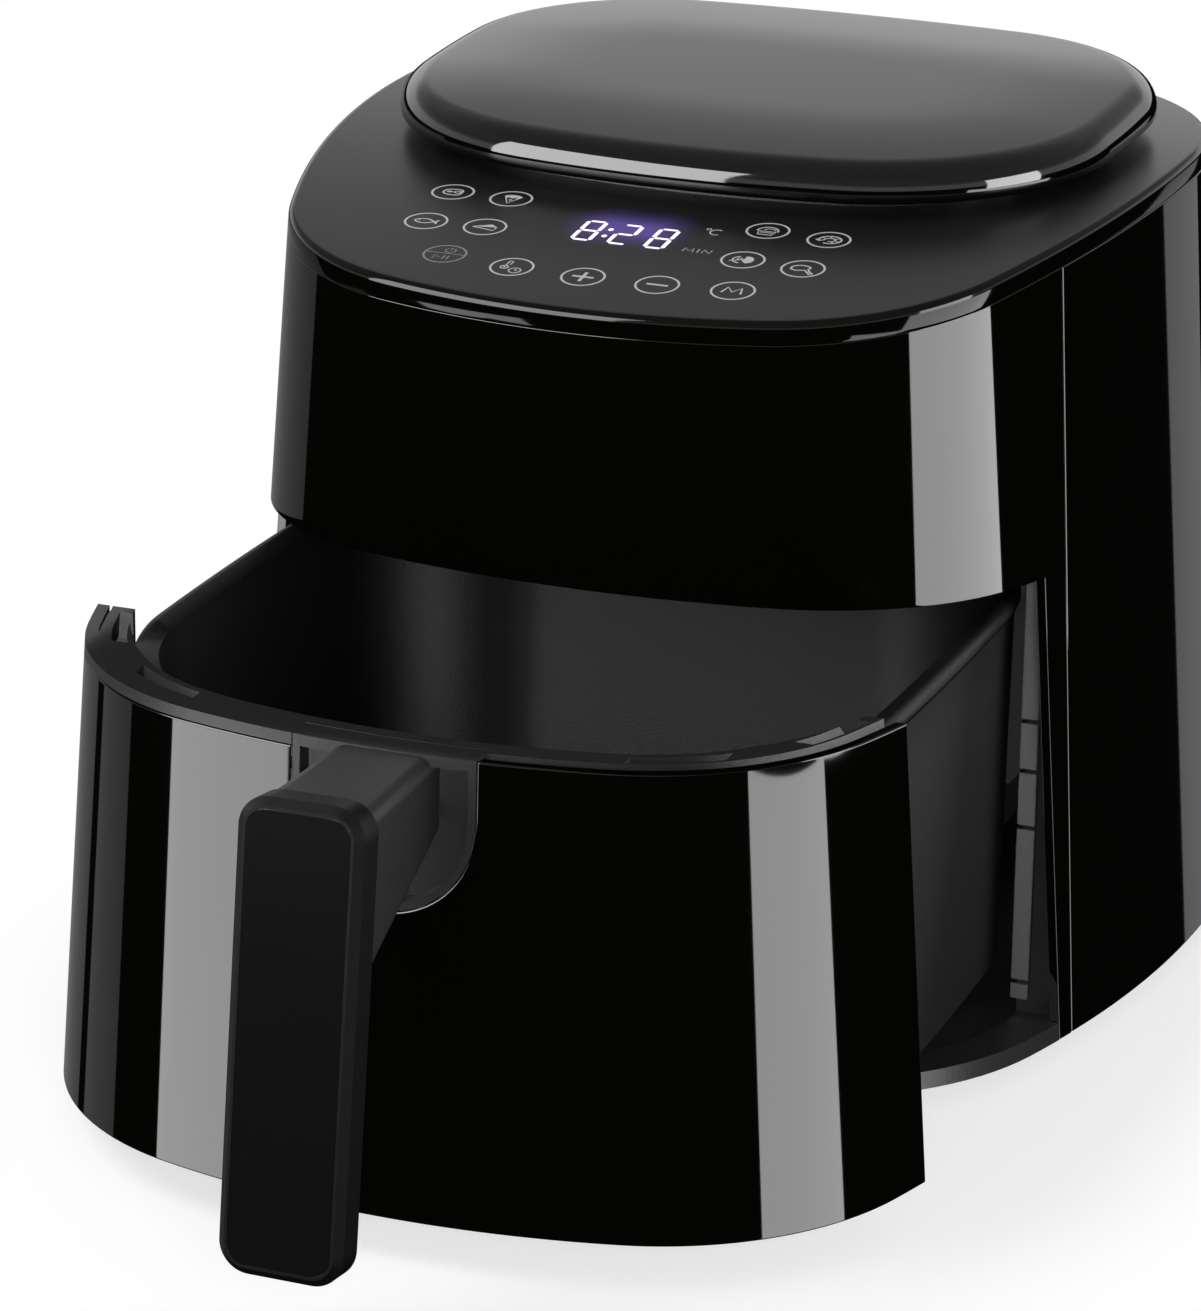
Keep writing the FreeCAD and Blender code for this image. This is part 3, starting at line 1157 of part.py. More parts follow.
def make_crisper():
    body = make_body("crisper_plate")
    low = size("pan_low + pan_wall + plate_stand")
    outline = pan_outline(low, size("pan_wall + plate_gap"))
    plan = make_sketch(body, "plate_plan", "XY_Plane", str(low))
    plan.addGeometry(outline.geometry())
    add_pad(body, plan, "dims.plate_sheet")
    spots = []
    for rear in (False, True):
        spot = outline.corner_point(size("bumper_radius + 2"), rear)
        spots += [spot, mirrored(spot)]
    holes = make_sketch(body, "plate_holes", "XY_Plane", str(low))
    pitch, radius = size("hole_pitch"), size("hole_radius")
    middle = (outline.rear - outline.front) / 2
    clear = outline.inset(pitch / 2).prism(-1, 1)
    for row in range(-8, 9):
        for column in range(-6, 7):
            spot = Vector(column * pitch, middle + row * pitch, 0)
            free = all((spot - other).Length > size("bumper_radius") + 2 * radius for other in spots)
            if free and clear.isInside(spot, 0.01, True):
                holes.addGeometry(Part.Circle(spot, UP, radius))
    for spot in spots:
        holes.addGeometry(Part.Circle(Vector(spot.x, spot.y, 0), UP, size("bumper_neck")))
    add_pocket(body, holes, "dims.plate_sheet", reverse=True)
    stand_out(body)
    bumpers = []
    stand, sheet_height = size("plate_stand"), size("plate_sheet")
    for number, spot in enumerate(spots):
        foot = Part.makeCylinder(size("bumper_radius"), stand)
        neck = Part.makeCylinder(size("bumper_neck"), stand + sheet_height)
        level = Vector(0, 0, stand + sheet_height)
        head = Part.makeCone(size("bumper_radius"), size("bumper_neck"), 3, level)
        bumper = make_feature(f"bumper_{number}", foot.fuse([neck, head]))
        place(bumper, str(spot.x), str(spot.y), "dims.pan_low + dims.pan_wall")
        bumpers.append(bumper)
    stand_out(make_group("plate_bumpers", bumpers))


make_rear_shell()
make_front_panel()
make_control_panel()
make_top_lid()
make_air_inlet_ring()
make_base()
make_base_details()
make_bay_liner()
make_bay_ceiling()
make_heat_shroud()
make_heater()
make_heater_guard()
make_fan_train()
make_motor()
make_boards()
make_sensors()
make_drawer_front()
make_drawer_frame()
make_pan()
make_handle()
make_crisper()
doc.recompute()

NODES = (
    "rear_shell", "front_panel", "control_panel", "top_lid", "air_inlet_ring", "base", "feet", "base_screws",
    "drawer_rails", "bay_liner", "bay_ceiling", "heat_shroud", "heating_element", "heater_clips",
    "heater_guard", "convection_fan", "cooling_fan", "motor_shaft", "fan_nut", "fan_motor", "motor_bracket",
    "touch_board", "display_module", "power_board", "temperature_probe", "thermal_fuse", "drawer_switch",
    "cord_gland", "drawer_front", "drawer_frame", "pan", "handle_neck", "handle_grip", "handle_insert",
    "handle_screws", "pan_screws", "crisper_plate", "plate_bumpers",
)
for item in doc.Objects:
    if {"Invalid", "Error"} & set(item.State):
        raise RuntimeError(f"{item.Label} failed: {item.State}")
for node in NODES:
    shape = doc.getObject(node).Shape
    if shape.isNull() or not shape.isValid() or not shape.Solids:
        raise RuntimeError(f"{node} has no valid solid")

# The frame's origin is under the middle of the object with its drawer out
FRAME_SHIFT = Vector(0, size("drawer_out"), 0)
os.makedirs("parts", exist_ok=True)
for node in NODES:
    shape = doc.getObject(node).Shape.translated(FRAME_SHIFT)
    shape.exportStep(f"parts/{node}.step")
    print(node, len(shape.Solids), round(shape.Volume))
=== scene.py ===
"""Looks of the countertop air fryer, laid out as an add-on and run as a script.

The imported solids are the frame. Sizes in the code are millimetres in the frame's axes, and
meshes are made in metres.
"""

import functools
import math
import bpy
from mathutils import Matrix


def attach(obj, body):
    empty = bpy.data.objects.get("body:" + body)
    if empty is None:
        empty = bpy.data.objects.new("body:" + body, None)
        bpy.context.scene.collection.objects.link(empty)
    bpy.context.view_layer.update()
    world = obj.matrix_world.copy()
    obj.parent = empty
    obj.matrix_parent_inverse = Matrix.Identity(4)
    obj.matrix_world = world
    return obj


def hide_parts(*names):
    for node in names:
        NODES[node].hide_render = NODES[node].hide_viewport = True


bl_info = {
    "name": "Air Fryer Looks",
    "version": (1, 0, 0),
    "blender": (4, 5, 0),
    "location": "View3D > Sidebar > Air Fryer",
    "description": "Builds the surfaces, markings, materials and stage of a countertop air fryer",
    "category": "Object",
}

import bpy
from bpy.props import FloatProperty, FloatVectorProperty, PointerProperty
from bpy.types import Operator, Panel, PropertyGroup
from mathutils import Matrix, Vector

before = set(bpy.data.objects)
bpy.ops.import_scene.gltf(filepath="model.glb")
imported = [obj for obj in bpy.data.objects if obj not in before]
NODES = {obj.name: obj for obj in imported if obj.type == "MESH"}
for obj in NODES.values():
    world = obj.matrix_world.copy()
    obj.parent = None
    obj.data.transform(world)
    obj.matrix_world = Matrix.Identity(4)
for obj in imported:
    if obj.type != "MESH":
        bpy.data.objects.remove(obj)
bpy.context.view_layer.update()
MM = 0.001

# The housing is drawn round a zero of its own, behind the frame's by the way the drawer is out
STATION = Vector((0, 113, 0))

# Heights over the table
FOOT_STAND = 6.0
DRAWER_LOW = 12.0
FLANGE_LOW = 126.4
RIM = 136.0

# Moulded walls: how far the sides, the front and the back lean in, and where they end
SIDE_DRAFT = 0.0705
FRONT_DRAFT = 0.036
SHELL_WALL = 2.5
DRAWER_WALL = 3.0
DRAWER_END = -100.0
BAY_EDGE = -99.0
FRONT_SEAM = -93.4
BACK_SEAM = -93.0
SEAM_LEAN = 0.032

# Control panel: its thickness, and the top, the radius and the peak of its crowned face
COVER_EDGE = 6.0
CROWN_TOP = 230.5
CROWN_RADIUS = 1173.0
CROWN_PEAK = 10.0

QUARTER = math.pi / 2


class Socket:
    """A node output that takes part in Python arithmetic and adds Math nodes for it."""

    def __init__(self, graph, socket):
        self.graph, self.socket = graph, socket

    def math(self, operation, *values):
        return self.graph.add("ShaderNodeMath", {"operation": operation}, dict(enumerate(values)))

    def __add__(self, other):
        return self.math("ADD", self, other)

    def __radd__(self, other):
        return self.math("ADD", other, self)

    def __sub__(self, other):
        return self.math("SUBTRACT", self, other)

    def __rsub__(self, other):
        return self.math("SUBTRACT", other, self)

    def __mul__(self, other):
        return self.math("MULTIPLY", self, other)

    def __rmul__(self, other):
        return self.math("MULTIPLY", other, self)

    def __pow__(self, exponent):
        return self.math("POWER", self, exponent)

    def __abs__(self):
        return self.math("ABSOLUTE", self)

    def __gt__(self, other):
        return self.math("GREATER_THAN", self, other)

    def __lt__(self, other):
        return self.math("LESS_THAN", self, other)

    def at_least(self, low):
        return self.math("MAXIMUM", self, low)

    def clamped(self):
        return self.graph.add("ShaderNodeClamp", {}, {"Value": self})


class Graph:
    """Node tree of a material or world, cleared and refilled."""

    # Numbers of a Mix node's colour sockets, which share their names with others
    MIX_SHARE, MIX_LOW, MIX_HIGH, MIX_RESULT = 0, 6, 7, 2

    def __init__(self, owner):
        owner.use_nodes = True
        self.tree = owner.node_tree
        self.tree.nodes.clear()

    def add(self, kind, settings, inputs, output=0):
        """Add a node: its settings first, then the values or links of its sockets."""
        node = self.tree.nodes.new(kind)
        for name, value in settings.items():
            if name == "stops":
                self.set_stops(node.color_ramp, value)
            else:
                setattr(node, name, value)
        for name, value in inputs.items():
            if isinstance(value, Socket):
                self.tree.links.new(value.socket, node.inputs[name])
            else:
                node.inputs[name].default_value = value
        return Socket(self, node.outputs[output]) if node.outputs else node

    @staticmethod
    def set_stops(ramp, stops):
        while len(ramp.elements) < len(stops):
            ramp.elements.new(0.5)
        for element, (place, level) in zip(ramp.elements, stops):
            element.position = place
            element.color = shaded(grey(level))

    def split(self, vector):
        """The three numbers of a vector."""
        first = self.add("ShaderNodeSeparateXYZ", {}, {0: vector})
        return [Socket(self, output) for output in first.socket.node.outputs]

    def mix(self, share, low, high):
        """Colour between two colours."""
        values = {self.MIX_SHARE: share, self.MIX_LOW: low, self.MIX_HIGH: high}
        return self.add("ShaderNodeMix", {"data_type": "RGBA"}, values, self.MIX_RESULT)


class Surface(Graph):
    """Node tree of a new material."""

    def __init__(self, name):
        self.material = bpy.data.materials.new(name)
        super().__init__(self.material)

    @functools.cached_property
    def place(self):
        """Place on the object, which the patterns follow."""
        return self.add("ShaderNodeTexCoord", {}, {}, "Object")

    def noise(self, place, scale, detail):
        values = {"Vector": place, "Scale": scale, "Detail": detail}
        return self.add("ShaderNodeTexNoise", {}, values)

    def glow(self, strength):
        return self.add("ShaderNodeEmission", {}, {"Strength": strength})

    def show(self, shader):
        self.add("ShaderNodeOutputMaterial", {}, {"Surface": shader})
        return self.material

    def finish(self, inputs):
        return self.show(self.add("ShaderNodeBsdfPrincipled", {}, inputs))


def grey(level):
    return (level, level, level)


def shaded(base, share=1.0):
    """A share of a colour, with its alpha."""
    return (*[part * share for part in base], 1)


# Forms: the housing and the lid follow outlines of tangent arcs

def meet(centre_a, radius_a, centre_b, radius_b, side):
    """Crossing of two circles, the one furthest to +X and to the given side in Y."""
    gap = centre_b - centre_a
    along = (radius_a ** 2 - radius_b ** 2 + gap.length ** 2) / (2 * gap.length)
    across = math.sqrt(radius_a ** 2 - along ** 2)
    unit = gap.normalized()
    foot, step = centre_a + unit * along, Vector((-unit.y, unit.x)) * across
    return max((foot + step, foot - step), key=lambda point: point.x + side * point.y)


class Outline:
    """Symmetric outline, measured by travel from the front's middle to the right and round."""

    SEARCH_STEPS = 40
    NEAR = 0.05

    def __init__(self, half, front, rear, front_arc, corner, side_arc, rear_corner, rear_arc,
                 station=0):
        self.sizes = (half, front, rear, front_arc, corner, side_arc, rear_corner, rear_arc)
        self.front, self.front_arc, self.station = front, front_arc, station
        front_centre = Vector((0, front_arc - front))
        side_centre = Vector((half - side_arc, -station))
        rear_centre = Vector((0, rear - rear_arc))
        corner_centre = meet(front_centre, front_arc - corner,
                             side_centre, side_arc - corner, -1)
        rear_corner_centre = meet(rear_centre, rear_arc - rear_corner,
                                  side_centre, side_arc - rear_corner, 1)
        ways = (corner_centre - front_centre, corner_centre - side_centre,
                rear_corner_centre - side_centre, rear_corner_centre - rear_centre)
        turns = [-QUARTER] + [math.atan2(way.y, way.x) for way in ways] + [QUARTER]
        centres = (front_centre, corner_centre, side_centre, rear_corner_centre, rear_centre)
        radii = (front_arc, corner, side_arc, rear_corner, rear_arc)
        self.arcs = list(zip(centres, radii, turns, turns[1:]))
        self.length = sum(radius * (end - start) for centre, radius, start, end in self.arcs)

    def inset(self, side, front=None):
        """The same outline moved inwards, by another amount at front and back if given."""
        front = side if front is None else front
        mean = (side + front) / 2
        less = (side, front, front, front, mean, side, mean, front)
        return Outline(*[size - cut for size, cut in zip(self.sizes, less)], self.station)

    def point(self, travel):
        if travel < 0 or travel > self.length:
            flipped = self.point(-travel if travel < 0 else 2 * self.length - travel)
            return Vector((-flipped.x, flipped.y))
        for centre, radius, start, end in self.arcs:
            if travel <= radius * (end - start) or end == self.arcs[-1][3]:
                turn = start + travel / radius
                return centre + Vector((math.cos(turn), math.sin(turn))) * radius
            travel -= radius * (end - start)

    def normal(self, travel):
        """Outward direction at a travel."""
        way = self.point(travel + self.NEAR) - self.point(travel - self.NEAR)
        return Vector((way.y, -way.x)).normalized()

    def round_travels(self, count):
        """Even travels once round, from the back's middle by way of the left side."""
        return [2 * (step / count - 0.5) * self.length for step in range(count)]

    def travel_to(self, kind, value):
        """Travel to a place on a side at Y, or on the front or the back at X.

        The left side is met backwards from the front, and as "round" by way of the back.
        """
        if kind in ("right", "left", "round"):
            reach = self.search(lambda point: point.y, 0, self.length, value)
            return {"right": reach, "left": -reach, "round": 2 * self.length - reach}[kind]
        side = self.search(lambda point: point.y, 0, self.length, 0)
        if kind == "front":
            reach = self.search(lambda point: point.x, 0, side, abs(value))
            return math.copysign(reach, value)
        reach = self.search(lambda point: -point.x, side, self.length, -abs(value))
        return reach if value >= 0 else 2 * self.length - reach

    def search(self, measure, low, high, value):
        """Travel at which a rising measure of the point has a value."""
        for step in range(self.SEARCH_STEPS):
            middle = (low + high) / 2
            if measure(self.point(middle)) < value:
                low = middle
            else:
                high = middle
        return (low + high) / 2


HOUSING = Outline(half=135, front=174, rear=114, front_arc=240, corner=79, side_arc=377,
                  rear_corner=112, rear_arc=270)
LID = Outline(half=104, front=93, rear=73, front_arc=280, corner=70, side_arc=420,
              rear_corner=60, rear_arc=600)


@functools.lru_cache(maxsize=None)
def housing(height, inset=0.0):
    """Outline of the leaning housing wall at a height."""
    level = height - FOOT_STAND
    return HOUSING.inset(SIDE_DRAFT * level + inset, FRONT_DRAFT * level + inset)


def crown(y, drop=0.0):
    """Height of the control panel's upper face, or of a face a drop below it."""
    reach = math.sqrt((CROWN_RADIUS - drop) ** 2 - (y - CROWN_PEAK) ** 2)
    return CROWN_TOP - CROWN_RADIUS + reach


def cover_low(y):
    """Height of the control panel's underside, where the shells end."""
    return crown(y, COVER_EDGE)


def spread(low, high, count):
    """Even values from low to high, in a count of steps."""
    return [low + (high - low) * step / count for step in range(count + 1)]


def add_mesh(name, points, faces, material, body, shift=Vector(), edge=None, replaced=None):
    """Object from points in millimetres, on a body; edge is the width of its rounded edges."""
    mesh = bpy.data.meshes.new(name)
    mesh.from_pydata([(Vector(point) + shift) * MM for point in points], [], faces)
    mesh.validate()
    mesh.materials.append(material)
    mesh.polygons.foreach_set("use_smooth", [True] * len(mesh.polygons))
    mesh.set_sharp_from_angle(angle=math.radians(35))
    item = bpy.data.objects.new(name, mesh)
    bpy.context.collection.objects.link(item)
    if edge:
        bevel = item.modifiers.new("edges", "BEVEL")
        bevel.limit_method, bevel.angle_limit = "ANGLE", math.radians(50)
        bevel.width, bevel.segments, bevel.harden_normals = edge * MM, 3, True
    item.visible_glossy = body != "drawer"
    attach(item, body)
    if replaced:
        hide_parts(replaced)
    return item


class Wall:
    """The housing's leaning wall at one inset, as upright lines spread between stations.

    A station is a kind of place on the outline, its value at the table and its lean.
    """

    STEP = 20
    HEIGHTS = range(0, 261, STEP)
    FIRST_GUESS = 120.0
    GUESSES = 4

    def __init__(self, stations, counts, inset):
        self.inset = inset
        self.tables = [[housing(z, inset).travel_to(kind, value + lean * z) for z in self.HEIGHTS]
                       for kind, value, lean in stations]
        self.lines = [(part, step / count) for part, count in enumerate(counts)
                      for step in range(count)]
        self.lines.append((len(counts) - 1, 1.0))

    def station(self, part, height):
        place = height / self.STEP
        row = min(int(place), len(self.tables[part]) - 2)
        low, high = self.tables[part][row], self.tables[part][row + 1]
        return low + (high - low) * (place - row)

    def point(self, line, level):
        """Point of a line at a level, whose height may follow the place on the wall."""
        part, share = self.lines[line]
        height = self.FIRST_GUESS
        for guess in range(self.GUESSES):
            start, end = self.station(part, height), self.station(part + 1, height)
            outline = housing(round(height, 2), self.inset)
            flat = outline.point(start + (end - start) * share)
            height = level(flat.x, flat.y)
        return flat.x, flat.y, height


def build_wall(stations, counts, levels, keep, thickness):
    """Points and faces of a moulded wall: outer and inner skin, joined round every opening."""
    walls = (Wall(stations, counts, 0.0), Wall(stations, counts, thickness))
    columns, rows = len(walls[0].lines), len(levels)
    points = [wall.point(line, level) for wall in walls for line in range(columns)
              for level in levels]

    def index(skin, column, row):
        return (skin * columns + column) * rows + row

    parts = [part for part, share in walls[0].lines]
    kept = {(column, row) for column in range(columns - 1) for row in range(rows - 1)
            if keep(parts[column], row)}
    faces = []
    for column, row in kept:
        corners = [(column, row), (column + 1, row), (column + 1, row + 1), (column, row + 1)]
        faces.append([index(0, *corner) for corner in corners])
        faces.append([index(1, *corner) for corner in reversed(corners)])
        beside = [(column, row - 1), (column + 1, row), (column, row + 1), (column - 1, row)]
        for number, cell in enumerate(beside):
            if cell not in kept:
                one, two = corners[number], corners[(number + 1) % 4]
                faces.append([index(0, *two), index(0, *one), index(1, *one), index(1, *two)])
    used = sorted({corner for face in faces for corner in face})
    place = {old: new for new, old in enumerate(used)}
    return [points[old] for old in used], [[place[corner] for corner in face] for face in faces]


def build_rings(rings, closed=False, capped=False):
    """Points and faces of a skin through rings of equal count.

    closed joins the last ring to the first, and capped fills both.
    """
    count = len(rings[0])
    points = [point for ring in rings for point in ring]
    faces = []
    for number in range(len(rings) if closed else len(rings) - 1):
        one, two = number * count, (number + 1) % len(rings) * count
        for step in range(count):
            after = (step + 1) % count
            faces.append((one + step, one + after, two + after, two + step))
    if capped:
        faces.append(tuple(range(count))[::-1])
        faces.append(tuple(range(len(points) - count, len(points))))
    return points, faces


# Materials

def make_plastic(name, base, roughness, grain=0.0, grain_scale=900.0, shine=0.5, lit=None,
                 painted_shade=None):
    """Moulded plastic: faint shade and polish changes, a fine grain where it is textured.

    lit and the function for painted shade take the place to a share that glows violet, or that is
    painted black as shade.
    """
    surface = Surface(name)
    place = surface.place
    cloud = surface.noise(place, 24.0, 3.0)
    shade = surface.mix(cloud, shaded(base, 0.9), shaded(base, 1.1))
    # Painted shade: black mixed into the colour where the function says
    if painted_shade:
        shade = surface.mix(painted_shade(*surface.split(place)), shade, shaded(grey(0.001)))
    inputs = {
        "Base Color": shade,
        "Roughness": (cloud - 0.5) * 0.02 + roughness,
        "IOR": 1.5,
        "Specular IOR Level": shine,
    }
    if lit:
        violet = (0.075, 0.045, 0.25)
        share = lit(*surface.split(place))
        inputs["Emission Color"] = surface.mix(share, shaded(grey(0)), shaded(violet))
        inputs["Emission Strength"] = 1.0
    if grain:
        fine = surface.noise(place, grain_scale, 2.0)
        values = {"Height": fine, "Strength": grain, "Distance": 0.0002}
        inputs["Normal"] = surface.add("ShaderNodeBump", {}, values)
    return surface.finish(inputs)


def clock_glow(x, y, z):
    """Share of the clock's glow in the panel round it, in the panel's own metres."""
    middle_x, middle_y, half_width, half_height, fade = -0.004, 0.003, 0.007, 0.003, 75.0
    across = (abs(x - middle_x) - half_width).at_least(0.0)
    along = (abs(y - middle_y) - half_height).at_least(0.0)
    away = (across * across + along * along) ** 0.5
    return (1.0 - away * fade).clamped() ** 2.0


def bay_shadow(x, y, z):
    """Painted shade on the bay liner: its front face behind the grey strips black, as shade in the
    slits and beside them, and darker towards the floor.
    """
    face_start, face_end, floor_shade, fade = 0.02195, 0.0235, 0.45, 6.0
    # Painted shade: the front face black where it shows in the slits and beside the strips, and
    # darker towards the floor
    face = (y > face_start) * (y < face_end)
    return (face + (floor_shade - z * fade).clamped()).clamped()


def make_metal(name, base, roughness):
    """Sheet metal with a drawn grain."""
    surface = Surface(name)
    along = {"Vector": surface.place, "Scale": (300.0, 300.0, 12.0)}
    streak = surface.noise(surface.add("ShaderNodeMapping", {}, along), 8.0, 4.0)
    return surface.finish({
        "Base Color": surface.mix(streak, shaded(base, 0.82), shaded(base, 1.1)),
        "Metallic": 1.0,
        "Roughness": (streak - 0.5) * 0.15 + roughness,
    })


def make_light(name, shade, strength=1.0):
    """Lit mark under a clear cover, a little uneven in its light."""
    surface = Surface(name)
    cloud = surface.noise(surface.place, 700.0, 2.0)
    return surface.finish({
        "Base Color": shaded(grey(0.02)),
        "Roughness": 0.3,
        "Emission Color": surface.mix(cloud, shaded(shade, 0.82), shaded(shade, 1.12)),
        "Emission Strength": strength,
    })


def tone(name, description, *default):
    """Colour that a user may change."""
    return FloatVectorProperty(name=name, description=description, subtype="COLOR", size=3,
                               default=default)


def length(name, description, millimetres):
    """Size that a user may change, with its default in millimetres."""
    return FloatProperty(name=name, description=description, unit="LENGTH", precision=5,
                         default=millimetres * MM)


class FryerFinishes(PropertyGroup):
    """Colours of the finishes."""
    gloss: tone("Gloss black", "Colour of the gloss shells", 0.0018, 0.0018, 0.0012)
    cover: tone("Cover", "Colour of the control panel", 0.012, 0.012, 0.012)
    matte: tone("Matte", "Colour of the textured mouldings", 0.018, 0.018, 0.018)
    coating: tone("Coating", "Colour of the pan's coating", 0.0055, 0.0055, 0.0053)
    liner: tone("Liner", "Colour of the drawer bay's liner", 0.2, 0.2, 0.2)


class FryerMarks(PropertyGroup):
    """Sizes of the touch keys' rings and of the clock."""
    ring: length("Key ring", "Radius of the ring round a touch key", 5.7)
    ring_line: length("Ring line", "Width of that ring's line", 0.62)
    figure_width: length("Figure width", "Width of a figure of the clock", 5.0)
    figure_height: length("Figure height", "Height of a figure of the clock", 13.6)
    figure_bar: length("Figure bar", "Width of a lit bar of the clock", 1.15)


class FryerStage(PropertyGroup):
    """Camera and light of the stage."""
    lens: FloatProperty(name="Lens", description="Focal length of the camera", default=149.8,
                        unit="CAMERA")
    key: FloatProperty(name="Key light", description="Power of the key light", default=11.0,
                       unit="POWER")
    fill: FloatProperty(name="Fill light", description="Power of the fill light", default=7.0,
                        unit="POWER")
    cards: FloatProperty(name="Reflector cards", description="Brightness of the reflector cards",
                         default=6.4)


class FRYER_OT_finish_solids(Operator):
    """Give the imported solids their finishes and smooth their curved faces."""
    bl_idname = "fryer.finish_solids"
    bl_label = "Finish solids"

    DRAWER_PIECES = "drawer_frame pan handle_neck handle_grip handle_insert crisper_plate"

    def execute(self, context):
        tones = context.scene.fryer_finishes
        self.make_skins(tones)
        for material, names in self.make_finishes(tones):
            for name in names.split():
                self.dress(NODES[name], material)
        for name in self.DRAWER_PIECES.split():
            NODES[name].visible_glossy = False
        return {"FINISHED"}

    @staticmethod
    def make_skins(tones):
        """Finishes that only the pieces of the later steps wear."""
        make_plastic("edge_gloss", tones.gloss, 0.06, shine=0.22)
        make_plastic("lid_dark", tones.gloss, 0.05)
        make_plastic("drawer_dark", tones.gloss, 0.035)
        make_light("key_light", grey(0.40))
        make_light("key_dim", grey(0.16))
        make_light("clock_light", (1.0, 0.9, 1.0), 1.3)

    @staticmethod
    def make_finishes(tones):
        """Each finish of the solids, with the nodes that wear it."""
        return (
            (make_plastic("gloss_black", tones.gloss, 0.035),
             "rear_shell front_panel drawer_front"),
            (make_plastic("panel_dark", tones.cover, 0.3, lit=clock_glow),
             "control_panel top_lid display_module"),
            (make_plastic("matte_grain", tones.matte, 0.42, grain=0.35),
             "drawer_frame handle_neck"),
            (make_plastic("grip_matte", grey(0.006), 0.4, grain=0.2, shine=0.15), "handle_grip"),
            (make_plastic("insert_shine", grey(0.006), 0.16), "handle_insert"),
            (make_plastic("base_black", grey(0.012), 0.4, grain=0.3),
             "base air_inlet_ring cord_gland drawer_rails cooling_fan"),
            (make_plastic("coated_steel", tones.coating, 0.45, grain=0.5, grain_scale=2200.0,
                          shine=0.3),
             "pan crisper_plate"),
            # Bay liner with painted shade on its front face and towards the floor
            (make_plastic("bay_grey", tones.liner, 0.5, grain=0.15, painted_shade=bay_shadow),
             "bay_liner"),
            (make_plastic("rubber_black", grey(0.02), 0.75, grain=0.3), "feet plate_bumpers"),
            (make_plastic("green_board", (0.01, 0.07, 0.03), 0.4), "touch_board power_board"),
            (make_plastic("sensor_cream", (0.45, 0.42, 0.35), 0.5), "thermal_fuse drawer_switch"),
            (make_metal("steel_sheet", grey(0.5), 0.35),
             "bay_ceiling heat_shroud heater_guard heater_clips motor_bracket motor_shaft "
             "fan_nut base_screws handle_screws pan_screws temperature_probe convection_fan "
             "fan_motor"),
            (make_metal("tube_steel", (0.16, 0.15, 0.14), 0.45), "heating_element"),
        )

    @staticmethod
    def dress(item, material):
        """One material all over, with smooth shading across faces that meet gently."""
        faces = item.data.polygons
        item.data.materials.clear()
        item.data.materials.append(material)
        faces.foreach_set("use_smooth", [True] * len(faces))
        faces.foreach_set("material_index", [0] * len(faces))
        item.data.set_sharp_from_angle(angle=math.radians(28))


